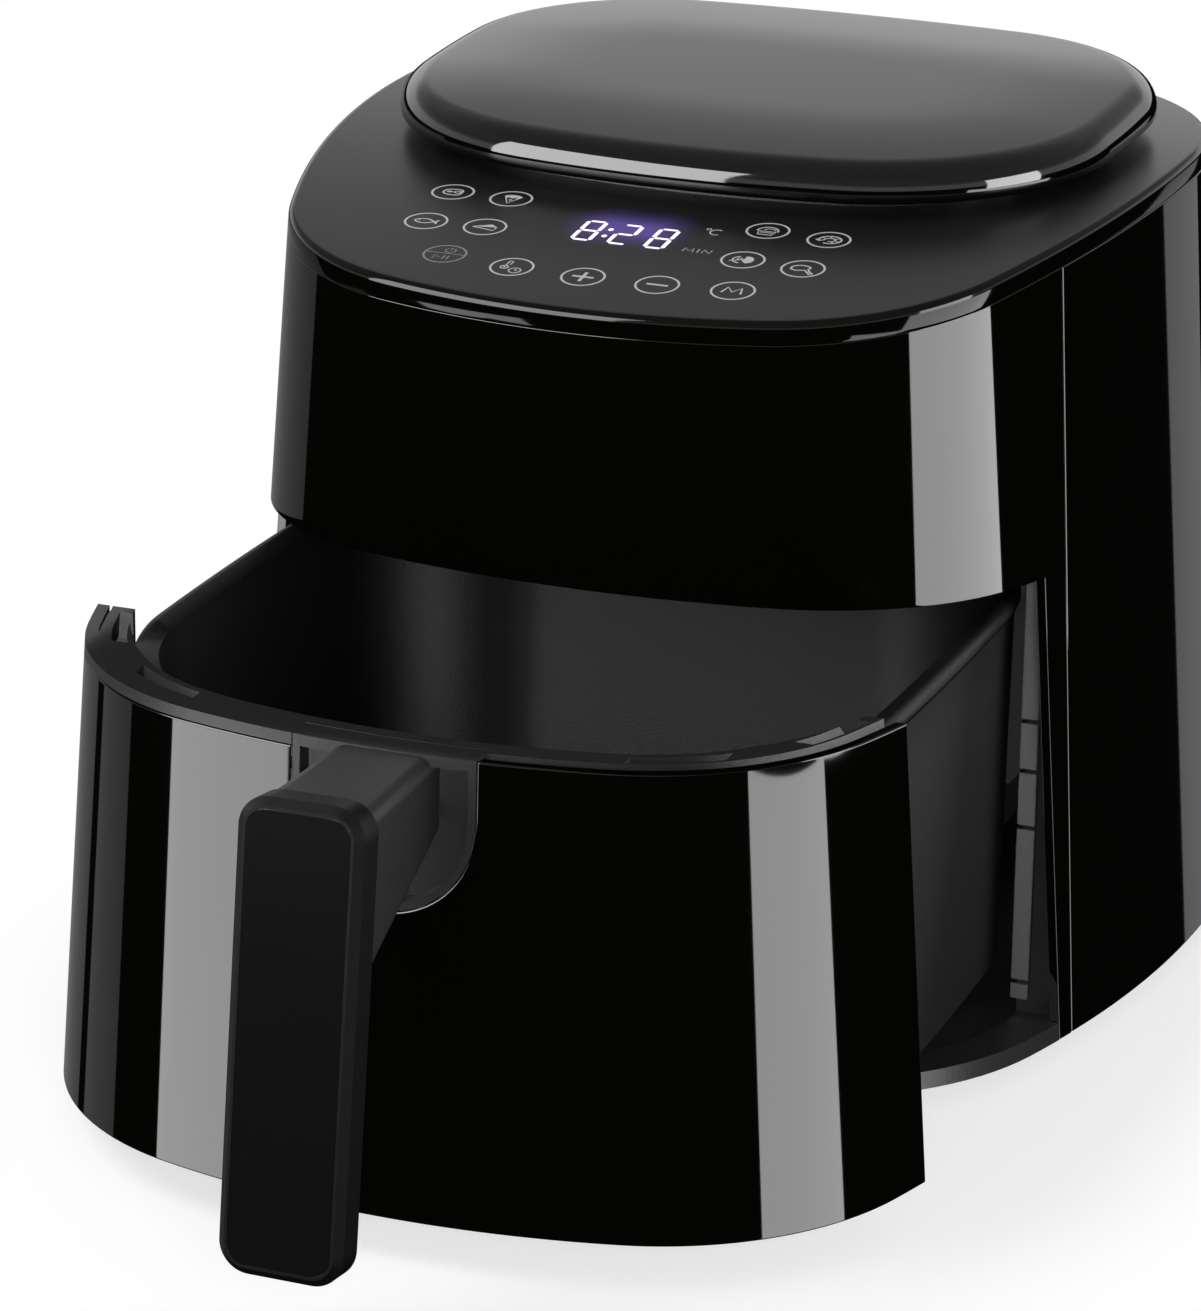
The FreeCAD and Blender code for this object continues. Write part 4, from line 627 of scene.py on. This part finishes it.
class FRYER_OT_build_shells(Operator):
    """Gloss shells of the housing: upper front with its posts, and the back with its vents."""
    bl_idname = "fryer.build_shells"
    bl_label = "Build shells"

    def execute(self, context):
        gloss = bpy.data.materials["gloss_black"]
        self.build_front(gloss)
        self.build_back(gloss)
        self.build_strips(bpy.data.materials["bay_grey"])
        return {"FINISHED"}

    @staticmethod
    def build_front(gloss):
        """Upper front down to the drawer's rim, with a narrow post on each side of the bay."""
        low_rows, high_rows, post_lines, front_lines = 12, 24, 3, 150
        reveal_high, reveal_fall, reveal_start = 140, 0.06, -130

        def level(share, upper):
            def height(x, y):
                edge = reveal_high - reveal_fall * (y - reveal_start)
                if upper:
                    return edge + (cover_low(y) - edge) * share
                return FOOT_STAND + (edge - FOOT_STAND) * share
            return height

        def keep(part, row):
            return part != 1 or row >= low_rows

        levels = [level(share, False) for share in spread(0, 1, low_rows)]
        levels += [level(share, True) for share in spread(0, 1, high_rows)[1:]]
        stations = (("left", FRONT_SEAM, SEAM_LEAN), ("left", BAY_EDGE, 0),
                    ("right", BAY_EDGE, 0), ("right", FRONT_SEAM, SEAM_LEAN))
        counts = (post_lines, front_lines, post_lines)
        points, faces = build_wall(stations, counts, levels, keep, SHELL_WALL)
        add_mesh("upper_front", points, faces, gloss, "housing", STATION, edge=0.2,
                 replaced="front_panel")

    @staticmethod
    def build_back(gloss):
        """Sides and back, with rows of vents in the back's upper part."""
        vent_count, vent_low, vent_pitch, vent_gap, vent_half = 7, 153, 9, 4, 44
        side_lines, vent_lines = 110, 30
        heights = spread(FOOT_STAND, 150, 24)
        vents = {len(heights) + 2 * row for row in range(vent_count)}
        for row in range(vent_count):
            low = vent_low + vent_pitch * row
            heights += [low, low + vent_gap]
        last = heights[-1]

        def keep(part, row):
            return part != 1 or row not in vents

        levels = [lambda x, y, height=height: height for height in heights]
        levels += [lambda x, y, share=share: last + (cover_low(y) - last) * share
                   for share in (0.5, 1.0)]
        stations = (("right", BACK_SEAM, SEAM_LEAN), ("back", vent_half, 0),
                    ("back", -vent_half, 0), ("round", BACK_SEAM, SEAM_LEAN))
        counts = (side_lines, vent_lines, side_lines)
        points, faces = build_wall(stations, counts, levels, keep, SHELL_WALL)
        add_mesh("back_shell", points, faces, gloss, "housing", STATION, edge=0.5,
                 replaced="rear_shell")

    @staticmethod
    def build_strips(grey_finish):
        """Grey strips on the bay's front faces, parted by slits, with a lip along the pan's way."""
        slits, gap, low, high = (18.0, 63.5, 79.9, 94.3), 1.4, 13.0, 137.0
        reach_most, clear_of_wall, station = 109.8, 3.2, -91

        def profile(height):
            wall = housing(height, clear_of_wall)
            reach = min(reach_most, wall.point(wall.travel_to("right", station)).x)
            return [(reach, 22.0), (reach, 21.4), (reach - 0.3, 21.1), (105.6, 21.1),
                    (104.9, 21.4), (104.6, 22.1), (104.6, 24.4), (106.4, 24.4), (106.4, 22.0)]

        cuts = [slit + side * gap / 2 for slit in slits for side in (-1, 1)]
        ends = [low, *cuts, high]
        points, faces = [], []
        for side in (-1, 1):
            for bottom, top in zip(ends[::2], ends[1::2]):
                rings = [[(side * x, y, z) for x, y in profile(z)] for z in (bottom, top)]
                strip_points, strip_faces = build_rings(rings, capped=True)
                start = len(points)
                points += strip_points
                for face in strip_faces:
                    moved = tuple(start + corner for corner in face)
                    faces.append(moved if side < 0 else moved[::-1])
        add_mesh("bay_strips", points, faces, grey_finish, "housing")


class FRYER_OT_build_top(Operator):
    """Control panel cover with its rounded edge, and the lid over its rear."""
    bl_idname = "fryer.build_top"
    bl_label = "Build top"

    COUNT = 360
    FIRST_GUESS = 222.0
    GUESSES = 4

    def execute(self, context):
        self.build_cover(bpy.data.materials["panel_dark"], bpy.data.materials["edge_gloss"])
        self.build_lid(bpy.data.materials["lid_dark"])
        return {"FINISHED"}

    def ring(self, inset, height):
        """Points round the housing at an inset; height is a function of Y."""
        points = []
        for step in range(self.COUNT):
            z = self.FIRST_GUESS
            for guess in range(self.GUESSES):
                outline = housing(round(z, 2), inset)
                flat = outline.point(2 * (step / self.COUNT - 0.5) * outline.length)
                z = height(flat.y)
            points.append((flat.x, flat.y, z))
        return points

    def build_cover(self, panel, gloss):
        """Crowned cover with a hole under the lid; its rounded edge is glossier than its face."""
        edge, ledge, hole_radius, hole_y, level_face = 2.0, 4.0, 44, -30, 0.93
        rings = [self.ring(ledge, cover_low)]
        for inset, rise in ((0.6, 0.0), (0.15, 0.15), (0.0, 0.6)):
            rings.append(self.ring(inset, lambda y: cover_low(y) + rise))
        for turn in spread(0, QUARTER, 10):
            inset, drop = edge * (1 - math.cos(turn)), edge * (1 - math.sin(turn))
            rings.append(self.ring(inset, lambda y: crown(y) - drop))
        for inset in (2.3, 3, 4, 5.5, 7, 9, 12, 16, 20, 25, 30, 35, 40):
            rings.append(self.ring(inset, crown))
        last = rings[-1]
        angles = [math.atan2(y - hole_y, x) for x, y, z in last]
        hole = [(hole_radius * math.cos(turn), hole_y + hole_radius * math.sin(turn))
                for turn in angles]
        for share in spread(0, 1, 16)[1:]:
            flat = [(x + (a - x) * share, y + (b - y) * share)
                    for (x, y, z), (a, b) in zip(last, hole)]
            rings.append([(x, y, crown(y)) for x, y in flat])
        rings.append([(x, y, cover_low(y)) for x, y in hole])
        points, faces = build_rings(rings, closed=True)
        item = add_mesh("key_cover", points, faces, panel, "housing", STATION,
                        replaced="control_panel")
        item.data.materials.append(gloss)
        for face in item.data.polygons:
            face.material_index = int(abs(face.normal.z) < level_face)

    def build_lid(self, gloss):
        """Shallow lid with an undercut edge, hollow below and slightly domed above."""
        height, nose, edge, hollow, roof, dome = 11.0, 2.5, 8.0, 18.0, 2.5, 0.9
        dome_start, dome_end, stand, tilt = 8, 50, 233.5, math.radians(1.6)
        profile = [(hollow, height - roof), (hollow, 0.0), (nose + 1, 0.0)]
        profile += [(nose * (1 - math.sin(turn)), nose * (1 - math.cos(turn)))
                    for turn in spread(0, QUARTER, 6)]
        profile += [(edge * (1 - math.cos(turn)), height - edge * (1 - math.sin(turn)))
                    for turn in spread(0, QUARTER, 14)]
        for inset in (9, 11, 14, 18, 24, 31, 40, dome_end):
            away = (dome_end - inset) / (dome_end - dome_start)
            profile.append((inset, height + dome * (1 - away ** 2)))
        rings = []
        for inset, z in profile:
            outline = LID.inset(inset)
            flat = [outline.point(travel) for travel in outline.round_travels(self.COUNT)]
            rings.append([(point.x, point.y, z) for point in flat])
        middle = [Vector(point) for point in rings[-1]]
        centre = Vector((0, -10, height + dome))
        for share in spread(0, 1, 6)[1:-1]:
            rings.append([tuple(point.lerp(centre, share)) for point in middle])
        points, faces = build_rings(rings, capped=True)
        lean = Matrix.Rotation(tilt, 3, "X")
        points = [lean @ Vector(point) + Vector((0, 0, stand)) for point in points]
        add_mesh("lid_cover", points, faces, gloss, "housing", STATION, replaced="top_lid")


class FRYER_OT_build_drawer(Operator):
    """Gloss front of the drawer with the window for the handle, and the pan's rolled edge."""
    bl_idname = "fryer.build_drawer"
    bl_label = "Build drawer"

    def execute(self, context):
        self.build_skin(bpy.data.materials["drawer_dark"])
        self.build_pan(bpy.data.materials["coated_steel"])
        return {"FINISHED"}

    @staticmethod
    def build_skin(gloss):
        """Bowed front, open for the handle's plate; its left half ends lower under the rim."""
        half, turn, low_rows, high_rows, side_lines, window_lines = 24.8, 118.5, 36, 6, 70, 32
        gap_left, gap_right = 3.3, 0.3

        def level(share, upper):
            def height(x, y):
                if upper:
                    top = RIM - (gap_right if x > 0 else gap_left)
                    return turn + (top - turn) * share
                window = turn - math.sqrt(max(0.0, half ** 2 - x ** 2))
                return DRAWER_LOW + (window - DRAWER_LOW) * share
            return height

        def keep(part, row):
            return part != 1 or row < low_rows

        levels = [level(share, False) for share in spread(0, 1, low_rows)]
        levels += [level(share, True) for share in spread(0, 1, high_rows)[1:]]
        stations = (("left", DRAWER_END, 0), ("front", -half, 0), ("front", half, 0),
                    ("right", DRAWER_END, 0))
        counts = (side_lines, window_lines, side_lines)
        points, faces = build_wall(stations, counts, levels, keep, DRAWER_WALL)
        add_mesh("drawer_skin", points, faces, gloss, "drawer", edge=0.5,
                 replaced="drawer_front")

    @staticmethod
    def build_pan(coating):
        """Pan with a rolled edge: inside it leans, outside it stands upright behind the frame."""
        wall, low, flange, rolled, upright, taper, count = 1.6, 20.0, 6, 2.7, 4.4, 1.2, 320
        depth, round_low, blend_start, blend_way = FLANGE_LOW - low, 6, -100, 10
        lean = 0.075 * depth
        inside = housing(FLANGE_LOW, 13.3)
        radius = inside.front_arc - flange
        outline = Outline(half=98, front=inside.front - flange, rear=66, front_arc=radius,
                          corner=66, side_arc=1500, rear_corner=50, rear_arc=radius * 4,
                          station=40)
        spots = [(outline.point(travel), outline.normal(travel))
                 for travel in outline.round_travels(count)]
        shares = [min(1.0, max(0.0, (spot.y - blend_start) / blend_way)) for spot, out in spots]

        def ring(reach, height):
            """Points moved outwards; both are functions of the share of the upright outside."""
            return [(*(spot + out * reach(share)), height(share))
                    for (spot, out), share in zip(spots, shares)]

        def bead(share):
            return wall / 2 + (rolled - wall / 2) * share

        def stand(share):
            return upright * share

        def foot(share):
            return stand(share) - lean * (1 - share) - taper * share

        rings = []
        for inward, rise in ((30, 0), (4, 0), (1, 1), (-0.3, 4)):
            rings.append(ring(lambda share: -wall - lean - inward, lambda share: low + wall + rise))
        for part in spread(0, 1, 8)[1:]:
            rings.append(ring(lambda share: -wall - lean * (1 - part),
                              lambda share: low + depth * part))
        rings.append(ring(lambda share: -wall + 0.6, lambda share: FLANGE_LOW + wall - 0.2))
        for turn in spread(100, -100, 12):
            way = math.radians(turn)
            rings.append(ring(lambda share: flange - bead(share) * (1 - math.cos(way)),
                              lambda share: FLANGE_LOW + wall / 2 + bead(share) * math.sin(way)))
        rings.append(ring(lambda share: stand(share) + 0.4, lambda share: FLANGE_LOW - 2 * share))
        for part in spread(0, 1, 8):
            rings.append(ring(lambda share: stand(share) + (foot(share) - stand(share)) * part,
                              lambda share: FLANGE_LOW - 2.6 * share - 0.4
                              + (round_low - depth) * part))
        rings.append(ring(lambda share: foot(share) - 1.8, lambda share: low + 1.8))
        rings.append(ring(lambda share: foot(share) - round_low, lambda share: low))
        points, faces = build_rings(rings, capped=True)
        add_mesh("pan_shell", points, faces, coating, "drawer", replaced="pan")


class Ink:
    """Flat marks on the control panel's upper face, gathered into one mesh."""

    def __init__(self, lift):
        self.lift, self.points, self.faces = lift, [], []

    def put(self, flat):
        start = len(self.points)
        self.points += [(x, y, crown(y) + self.lift) for x, y in flat]
        return start

    def fill(self, path):
        start = self.put(path)
        self.faces.append(tuple(range(start, start + len(path))))

    def line(self, path, width, closed=False):
        """Strip of even width along a path."""
        count = len(path)
        sides = []
        for number, spot in enumerate(path):
            before = path[number - 1] if number or closed else spot
            after = path[(number + 1) % count] if number + 1 < count or closed else spot
            way = Vector(after) - Vector(before)
            across = Vector((-way.y, way.x)).normalized() * width / 2
            sides += [Vector(spot) + across, Vector(spot) - across]
        start = self.put([tuple(side) for side in sides])
        for number in range(count if closed else count - 1):
            one, two = start + 2 * number, start + 2 * ((number + 1) % count)
            self.faces.append((one, one + 1, two + 1, two))

    def show(self, name, finish):
        add_mesh(name, self.points, self.faces, bpy.data.materials[finish], "housing", STATION)


def arc(centre, radius_x, radius_y, start, end, count=28):
    """Points of an elliptic arc, in degrees."""
    turns = [math.radians(angle) for angle in spread(start, end, count)]
    return [(centre[0] + radius_x * math.cos(turn), centre[1] + radius_y * math.sin(turn))
            for turn in turns]


def loop(centre, radius_x, radius_y=None):
    return arc(centre, radius_x, radius_y or radius_x, 0, 350, 35)


class FRYER_OT_print_marks(Operator):
    """Touch keys with their pictograms, and the lit clock display."""
    bl_idname = "fryer.print_marks"
    bl_label = "Print marks"

    # Middles of the keys in the housing's plan; each has a method that draws its pictogram
    KEYS = {
        "steak": (-60.0, -98.4), "slice_of_pie": (-42.8, -98.6),
        "fish": (-58.1, -121.2), "wedge": (-41.2, -120.6),
        "power": (-43.9, -141.5), "heat_and_time": (-23.4, -144.7),
        "more": (-2.9, -145.6), "less": (17.7, -145.1), "menu": (38.0, -143.2),
        "cake": (32.0, -100.5), "shrimp": (49.7, -102.0),
        "leaf": (33.1, -122.6), "drumstick": (50.3, -123.9),
    }
    DEGREE_SIGN = (18.8, -105.6)
    MINUTES_SIGN = (19.4, -120.1)
    KEY_LIFT, CLOCK_LIFT = 0.06, 0.05

    def execute(self, context):
        sizes = context.scene.fryer_marks
        bright, dim = Ink(self.KEY_LIFT), Ink(self.KEY_LIFT)
        for key, spot in self.KEYS.items():
            self.ink, self.spot = dim if key == "power" else bright, spot
            self.stroke(loop((0, 0), sizes.ring / MM), sizes.ring_line / MM, True)
            getattr(self, key)()
        self.ink = bright
        self.print_units()
        bright.show("key_marks", "key_light")
        dim.show("power_mark", "key_dim")
        self.print_clock(sizes.figure_width / MM, sizes.figure_height / MM, sizes.figure_bar / MM)
        return {"FINISHED"}

    def moved(self, path):
        return [(x + self.spot[0], y + self.spot[1]) for x, y in path]

    def stroke(self, path, width, closed=False):
        self.ink.line(self.moved(path), width, closed)

    def solid(self, path):
        self.ink.fill(self.moved(path))

    def steak(self):
        blob = [((3.1 - 0.5 * math.cos(2 * turn)) * math.cos(turn),
                 (2.2 + 0.4 * math.cos(turn)) * math.sin(turn))
                for turn in spread(0, 2 * math.pi, 36)[:-1]]
        self.stroke(blob, 0.55, True)
        self.stroke(loop((1.3, 0.2), 0.95, 0.8), 0.45, True)
        self.solid(loop((-1.0, 0.1), 0.9, 0.6))

    def slice_of_pie(self):
        self.stroke([(-2.2, 1.6), (0.1, -3.4), (2.4, 1.6)], 0.5)
        self.solid(arc((0.1, 1.5), 2.6, 1.5, 0, 180)
                   + [(-1.6, 0.4), (-0.7, 1.0), (0.1, 0.2), (0.9, 1.0), (1.8, 0.4)])
        self.solid(loop((0.1, -0.9), 0.45))

    def fish(self):
        self.stroke(arc((-0.6, -2.6), 3.6, 4.1, 140, 48) + [(3.4, -1.3)], 0.5)
        self.stroke(arc((-0.6, 2.6), 3.6, 4.1, 220, 312)
                    + [(3.4, 1.3), (2.9, 0), (3.4, -1.3)], 0.5)
        self.solid(loop((-2.1, 0.3), 0.3))

    def wedge(self):
        self.stroke([(-3.3, -0.6), (3.0, -1.9), (3.2, 0.3), (1.2, 1.9)], 0.5)
        self.solid([(-3.3, -0.4), (1.2, 2.0), (3.1, 0.4)])
        self.stroke([(-3.3, -0.6), (1.2, 1.9)], 0.4)

    def power(self):
        self.stroke([(-5.4, 0.4), (5.4, 0.4)], 0.4)
        self.stroke(arc((0.6, 2.6), 1.4, 1.4, 125, 415), 0.4)
        self.stroke([(0.6, 4.3), (0.6, 2.7)], 0.4)
        self.stroke([(-2.4, -1.0), (-0.6, -2.2), (-2.4, -3.4)], 0.4, True)
        for x in (0.5, 1.7):
            self.stroke([(x, -1.0), (x, -3.4)], 0.45)

    def heat_and_time(self):
        self.stroke(loop((-1.9, -0.5), 1.05), 0.4, True)
        self.solid(loop((-1.9, -0.5), 0.45))
        self.stroke([(-1.9, 0.5), (-1.9, 3.6)], 0.4)
        self.stroke([(-1.9, 3.6), (-0.9, 3.6), (-0.9, 1.2)], 0.4)
        self.stroke(loop((1.6, -2.0), 1.6), 0.4, True)
        self.stroke([(1.6, -1.0), (1.6, -2.0), (2.4, -2.0)], 0.35)

    def more(self):
        self.less()
        self.stroke([(0, -3.0), (0, 3.0)], 0.95)

    def less(self):
        self.stroke([(-3.0, 0), (3.0, 0)], 0.95)

    def menu(self):
        self.stroke([(-2.7, -1.7), (-1.9, 1.9), (0, -0.9), (1.9, 1.9), (2.7, -1.7)], 0.62)

    def cake(self):
        self.stroke([(-2.5, -0.6), (-1.9, -3.0), (1.9, -3.0), (2.5, -0.6)], 0.5, True)
        self.stroke(arc((0, -0.4), 2.9, 3.1, 0, 180), 0.5)
        self.stroke(arc((0.5, -0.2), 1.7, 1.7, 20, 160), 0.4)
        self.stroke([(-1.8, -1.5), (1.9, -1.5)], 0.35)

    def shrimp(self):
        back, belly = ((0.3, 0), 3.1, 2.7), ((0.3, 0), 1.5, 1.2)
        self.stroke(arc(*back, 205, -110), 0.55)
        self.stroke(arc(*belly, 190, -100), 0.45)
        self.stroke([(-2.5, -1.2), (-1.2, -0.3)], 0.5)
        for angle in (150, 95, 40, -15, -60):
            self.stroke([arc(*curve, angle, angle, 1)[0] for curve in (belly, back)], 0.32)
        self.stroke([(-2.5, -1.2), (-3.6, -0.2)], 0.4)

    def leaf(self):
        self.solid(arc((0.9, 0.2), 2.0, 2.4, -80, 110) + [(0.2, 0.6), (-0.1, -0.8)])
        self.stroke(arc((-0.2, 0), 2.6, 2.3, 115, 265), 0.5)
        self.stroke([(-3.4, -1.5), (0.4, 0.3)], 0.42)
        for x in (-1.6, -0.7):
            self.stroke([(x, 0.4 * x), (x + 0.2, 1.3)], 0.38)

    def drumstick(self):
        self.stroke([(-3.1, -0.9)] + arc((-0.6, 0.3), 2.6, 1.9, 175, 20)
                    + [(1.5, -0.3), (3.0, -2.4)], 0.55)
        self.stroke([(-3.1, -0.9), (-1.6, -1.5), (0.8, -0.9), (2.3, -2.7)], 0.55)
        self.stroke(loop((2.9, -2.8), 0.55), 0.4, True)

    def print_units(self):
        """Degree sign and minutes' sign beside the clock."""
        self.spot = self.DEGREE_SIGN
        self.stroke(loop((-2.1, 1.4), 0.6), 0.3, True)
        self.stroke(arc((0.6, -0.3), 1.7, 1.9, 55, 305), 0.42)
        self.spot = self.MINUTES_SIGN
        self.stroke([(-3.9, -1.2), (-3.6, 1.2), (-2.5, -0.6), (-1.4, 1.2), (-1.1, -1.2)], 0.3)
        self.stroke([(0.2, -1.2), (0.2, 1.2)], 0.32)
        self.stroke([(1.5, -1.2), (1.5, 1.2), (3.7, -1.2), (3.7, 1.2)], 0.3)

    def print_clock(self, width, height, bar):
        """Seven-segment figures, with the colon after the first."""
        low, gap, segments = -121.5, 0.22, {"8": "abcdefg", "2": "abged"}
        middle, high = low + height / 2, low + height
        ink = Ink(self.CLOCK_LIFT)
        for figure, left in (("8", -16.0), ("2", -5.7), ("8", 4.7)):
            right = left + width
            ends = {
                "a": ((left, high), (right, high)), "g": ((left, middle), (right, middle)),
                "d": ((left, low), (right, low)), "f": ((left, middle), (left, high)),
                "b": ((right, middle), (right, high)), "e": ((left, low), (left, middle)),
                "c": ((right, low), (right, middle)),
            }
            for segment in segments[figure]:
                start, end = (Vector(spot) for spot in ends[segment])
                along = (end - start).normalized()
                across = Vector((-along.y, along.x)) * bar / 2
                start, end = start + along * gap, end - along * gap
                step = along * bar / 2
                spots = (start, start + step - across, end - step - across,
                         end, end - step + across, start + step + across)
                ink.fill([tuple(spot) for spot in spots])
        for y in (-117.3, -112.4):
            ink.fill(loop((-8.2, y), 0.75, 0.95))
        ink.show("clock_figures", "clock_light")


# Stage

def add_sheet(name, corners, material):
    """Flat stage piece from four corners in metres."""
    mesh = bpy.data.meshes.new(name)
    mesh.from_pydata(corners, [], [(0, 1, 2, 3)])
    mesh.materials.append(material)
    sheet = bpy.data.objects.new(name, mesh)
    bpy.context.collection.objects.link(sheet)
    return sheet


def add_card(name, corners, strength):
    """Glowing card from corners in millimetres, seen only in reflections."""
    surface = Surface(name)
    glow = surface.show(surface.glow(strength))
    card = add_sheet(name, [Vector(corner) * MM for corner in corners], glow)
    card.visible_camera = card.visible_diffuse = False
    card.visible_shadow = card.visible_transmission = False


def add_lamp(name, place, target, width, power):
    light = bpy.data.lights.new(name, "AREA")
    light.shape, light.size, light.energy = "SQUARE", width, power
    lamp = bpy.data.objects.new(name, light)
    lamp.location = place
    lamp.rotation_euler = (Vector(target) - Vector(place)).to_track_quat("-Z", "Y").to_euler()
    lamp.visible_glossy = lamp.visible_camera = False
    bpy.context.collection.objects.link(lamp)


class FRYER_OT_build_stage(Operator):
    """Floor, studio light, reflector cards and the camera."""
    bl_idname = "fryer.build_stage"
    bl_label = "Build stage"

    # Upright cards: start and end in the housing's plan, low and high edge, share of brightness
    CARDS = {
        "card_panel": ((380, -230), (345, 20), 60, 190, 1.0),
        "card_drawer": ((354, -396), (402, -205), -160, 55, 1.0),
        "card_left": ((-323, -428), (-220, -540), -160, 55, 0.95),
        "card_lid_left": ((-761, -595), (-187, -975), 170, 900, 1.8),
        "card_lid_right": ((750, -293), (776, 64), 130, 470, 2.0),
        "card_rear_left": ((-420, -105), (-420, 500), -300, 200, 0.035),
        "card_side_left": ((-420, -300), (-420, -150), -300, 40, 0.05),
        "card_rear_right": ((380, 543), (260, 587), -300, 150, 0.075),
    }
    # What glossy faces see of the world: height of the direction, and brightness there
    SKY = ((0.0, 0.004), (0.02, 1.0), (0.24, 1.05), (0.281, 0.7), (0.313, 0.48), (0.34, 0.42),
           (0.45, 0.31), (0.55, 0.36), (0.8, 0.3))
    LAMP_TARGET = (0, 0.013, 0.12)

    def execute(self, context):
        sizes = context.scene.fryer_stage
        context.scene.view_settings.view_transform = "Standard"
        self.build_floor()
        self.build_world(context.scene)
        self.build_cards(sizes.cards)
        add_lamp("key", (-0.9, -0.587, 1.5), self.LAMP_TARGET, 0.9, sizes.key)
        add_lamp("fill", (0.75, -1.45, 0.62), self.LAMP_TARGET, 0.5, sizes.fill)
        self.build_camera(context.scene, sizes.lens)
        return {"FINISHED"}

    @staticmethod
    def build_floor():
        """Pale floor that keeps the shadow and turns white away from the object."""
        reach, level, brightness = 6.0, 0.45, 0.69
        narrow_x, narrow_y, white_from, fade = 7.4, 4.25, 1.12, 3.0
        surface = Surface("floor_white")
        x, y, z = surface.split(surface.place)
        away = ((x * narrow_x) ** 2.0 + (y * narrow_y) ** 2.0) ** 0.5
        far = ((away - white_from) * fade).clamped()
        lit = surface.add("ShaderNodeBsdfDiffuse", {}, {"Color": shaded(grey(level))})
        near = surface.add("ShaderNodeAddShader", {}, {0: lit, 1: surface.glow(brightness)})
        shown = surface.add("ShaderNodeMixShader", {}, {0: far, 1: near, 2: surface.glow(1.0)})
        seen = surface.add("ShaderNodeLightPath", {}, {}, "Is Camera Ray")
        both = surface.add("ShaderNodeMixShader", {}, {0: seen, 1: lit, 2: shown})
        corners = [(x * reach, y * reach, 0) for x, y in ((-1, -1), (1, -1), (1, 1), (-1, 1))]
        add_sheet("floor", corners, surface.show(both)).visible_glossy = False

    def build_world(self, scene):
        """White behind the object; a pale band over the horizon and black below for the rest."""
        scene.world = scene.world or bpy.data.worlds.new("studio")
        graph = Graph(scene.world)
        height = graph.split(graph.add("ShaderNodeTexCoord", {}, {}, "Generated"))[2]
        ramp = graph.add("ShaderNodeValToRGB", {"stops": self.SKY}, {"Fac": height})
        seen = graph.add("ShaderNodeLightPath", {}, {}, "Is Camera Ray")
        shade = graph.mix(seen, ramp, shaded(grey(1)))
        back = graph.add("ShaderNodeBackground", {}, {"Color": shade, "Strength": 1.0})
        graph.add("ShaderNodeOutputWorld", {}, {"Surface": back})

    def build_cards(self, strength):
        """Cards that give the gloss its stripes, and a black one over the open drawer that paints a
        dark reflection.
        """
        for name, (start, end, low, high, share) in self.CARDS.items():
            corners = ((*start, low), (*end, low), (*end, high), (*start, high))
            add_card(name, [Vector(corner) + STATION for corner in corners], strength * share)
        # Black card seen only in reflections: a painted dark reflection over the open drawer, whose
        # pieces are left out of reflections
        half, front, rear, height = 104, -165, -4, 138
        corners = ((-half, front), (half, front), (half, rear), (-half, rear))
        add_card("card_shade", [(*corner, height) for corner in corners], 0.0)

    @staticmethod
    def build_camera(scene, lens):
        """Camera at the photograph's angle; shifts move it across its own view."""
        azimuth, lift, roll = math.radians(21.46), math.radians(19.58), 0.0127
        distance, shift_x, shift_y = 1623.75, 49.38, -58.48
        back = Vector((math.sin(azimuth) * math.cos(lift), -math.cos(azimuth) * math.cos(lift),
                       math.sin(lift)))
        level = Vector((math.cos(azimuth), math.sin(azimuth), 0))
        rise = back.cross(level)
        right = level * math.cos(roll) + rise * math.sin(roll)
        up = rise * math.cos(roll) - level * math.sin(roll)
        data = bpy.data.cameras.new("camera")
        data.lens, data.sensor_width, data.clip_end = lens, 36.0, 20
        camera = bpy.data.objects.new("camera", data)
        bpy.context.collection.objects.link(camera)
        target = STATION + Vector((0, 0, FOOT_STAND))
        place = target + back * distance - right * shift_x - up * shift_y
        axes = Matrix((right, up, back)).transposed()
        camera.matrix_world = Matrix.Translation(place * MM) @ axes.to_4x4()
        scene.camera = camera


class FRYER_PT_panel(Panel):
    """Lists the steps that dress the air fryer."""
    bl_label = "Air Fryer"
    bl_space_type = "VIEW_3D"
    bl_region_type = "UI"
    bl_category = "Air Fryer"

    def draw(self, context):
        for step in STEPS:
            self.layout.operator(step.bl_idname)
        for name, group in GROUPS.items():
            for prop in group.__annotations__:
                self.layout.prop(getattr(context.scene, name), prop)


GROUPS = {"fryer_finishes": FryerFinishes, "fryer_marks": FryerMarks, "fryer_stage": FryerStage}
STEPS = (FRYER_OT_finish_solids, FRYER_OT_build_shells, FRYER_OT_build_top,
         FRYER_OT_build_drawer, FRYER_OT_print_marks, FRYER_OT_build_stage)
CLASSES = (*GROUPS.values(), *STEPS, FRYER_PT_panel)


def register():
    for item in CLASSES:
        bpy.utils.register_class(item)
    for name, group in GROUPS.items():
        setattr(bpy.types.Scene, name, PointerProperty(type=group))


def unregister():
    for name in GROUPS:
        delattr(bpy.types.Scene, name)
    for item in reversed(CLASSES):
        bpy.utils.unregister_class(item)


def main():
    register()
    for step in STEPS:
        group, name = step.bl_idname.split(".")
        getattr(getattr(bpy.ops, group), name)()


if __name__ == "__main__":
    main()
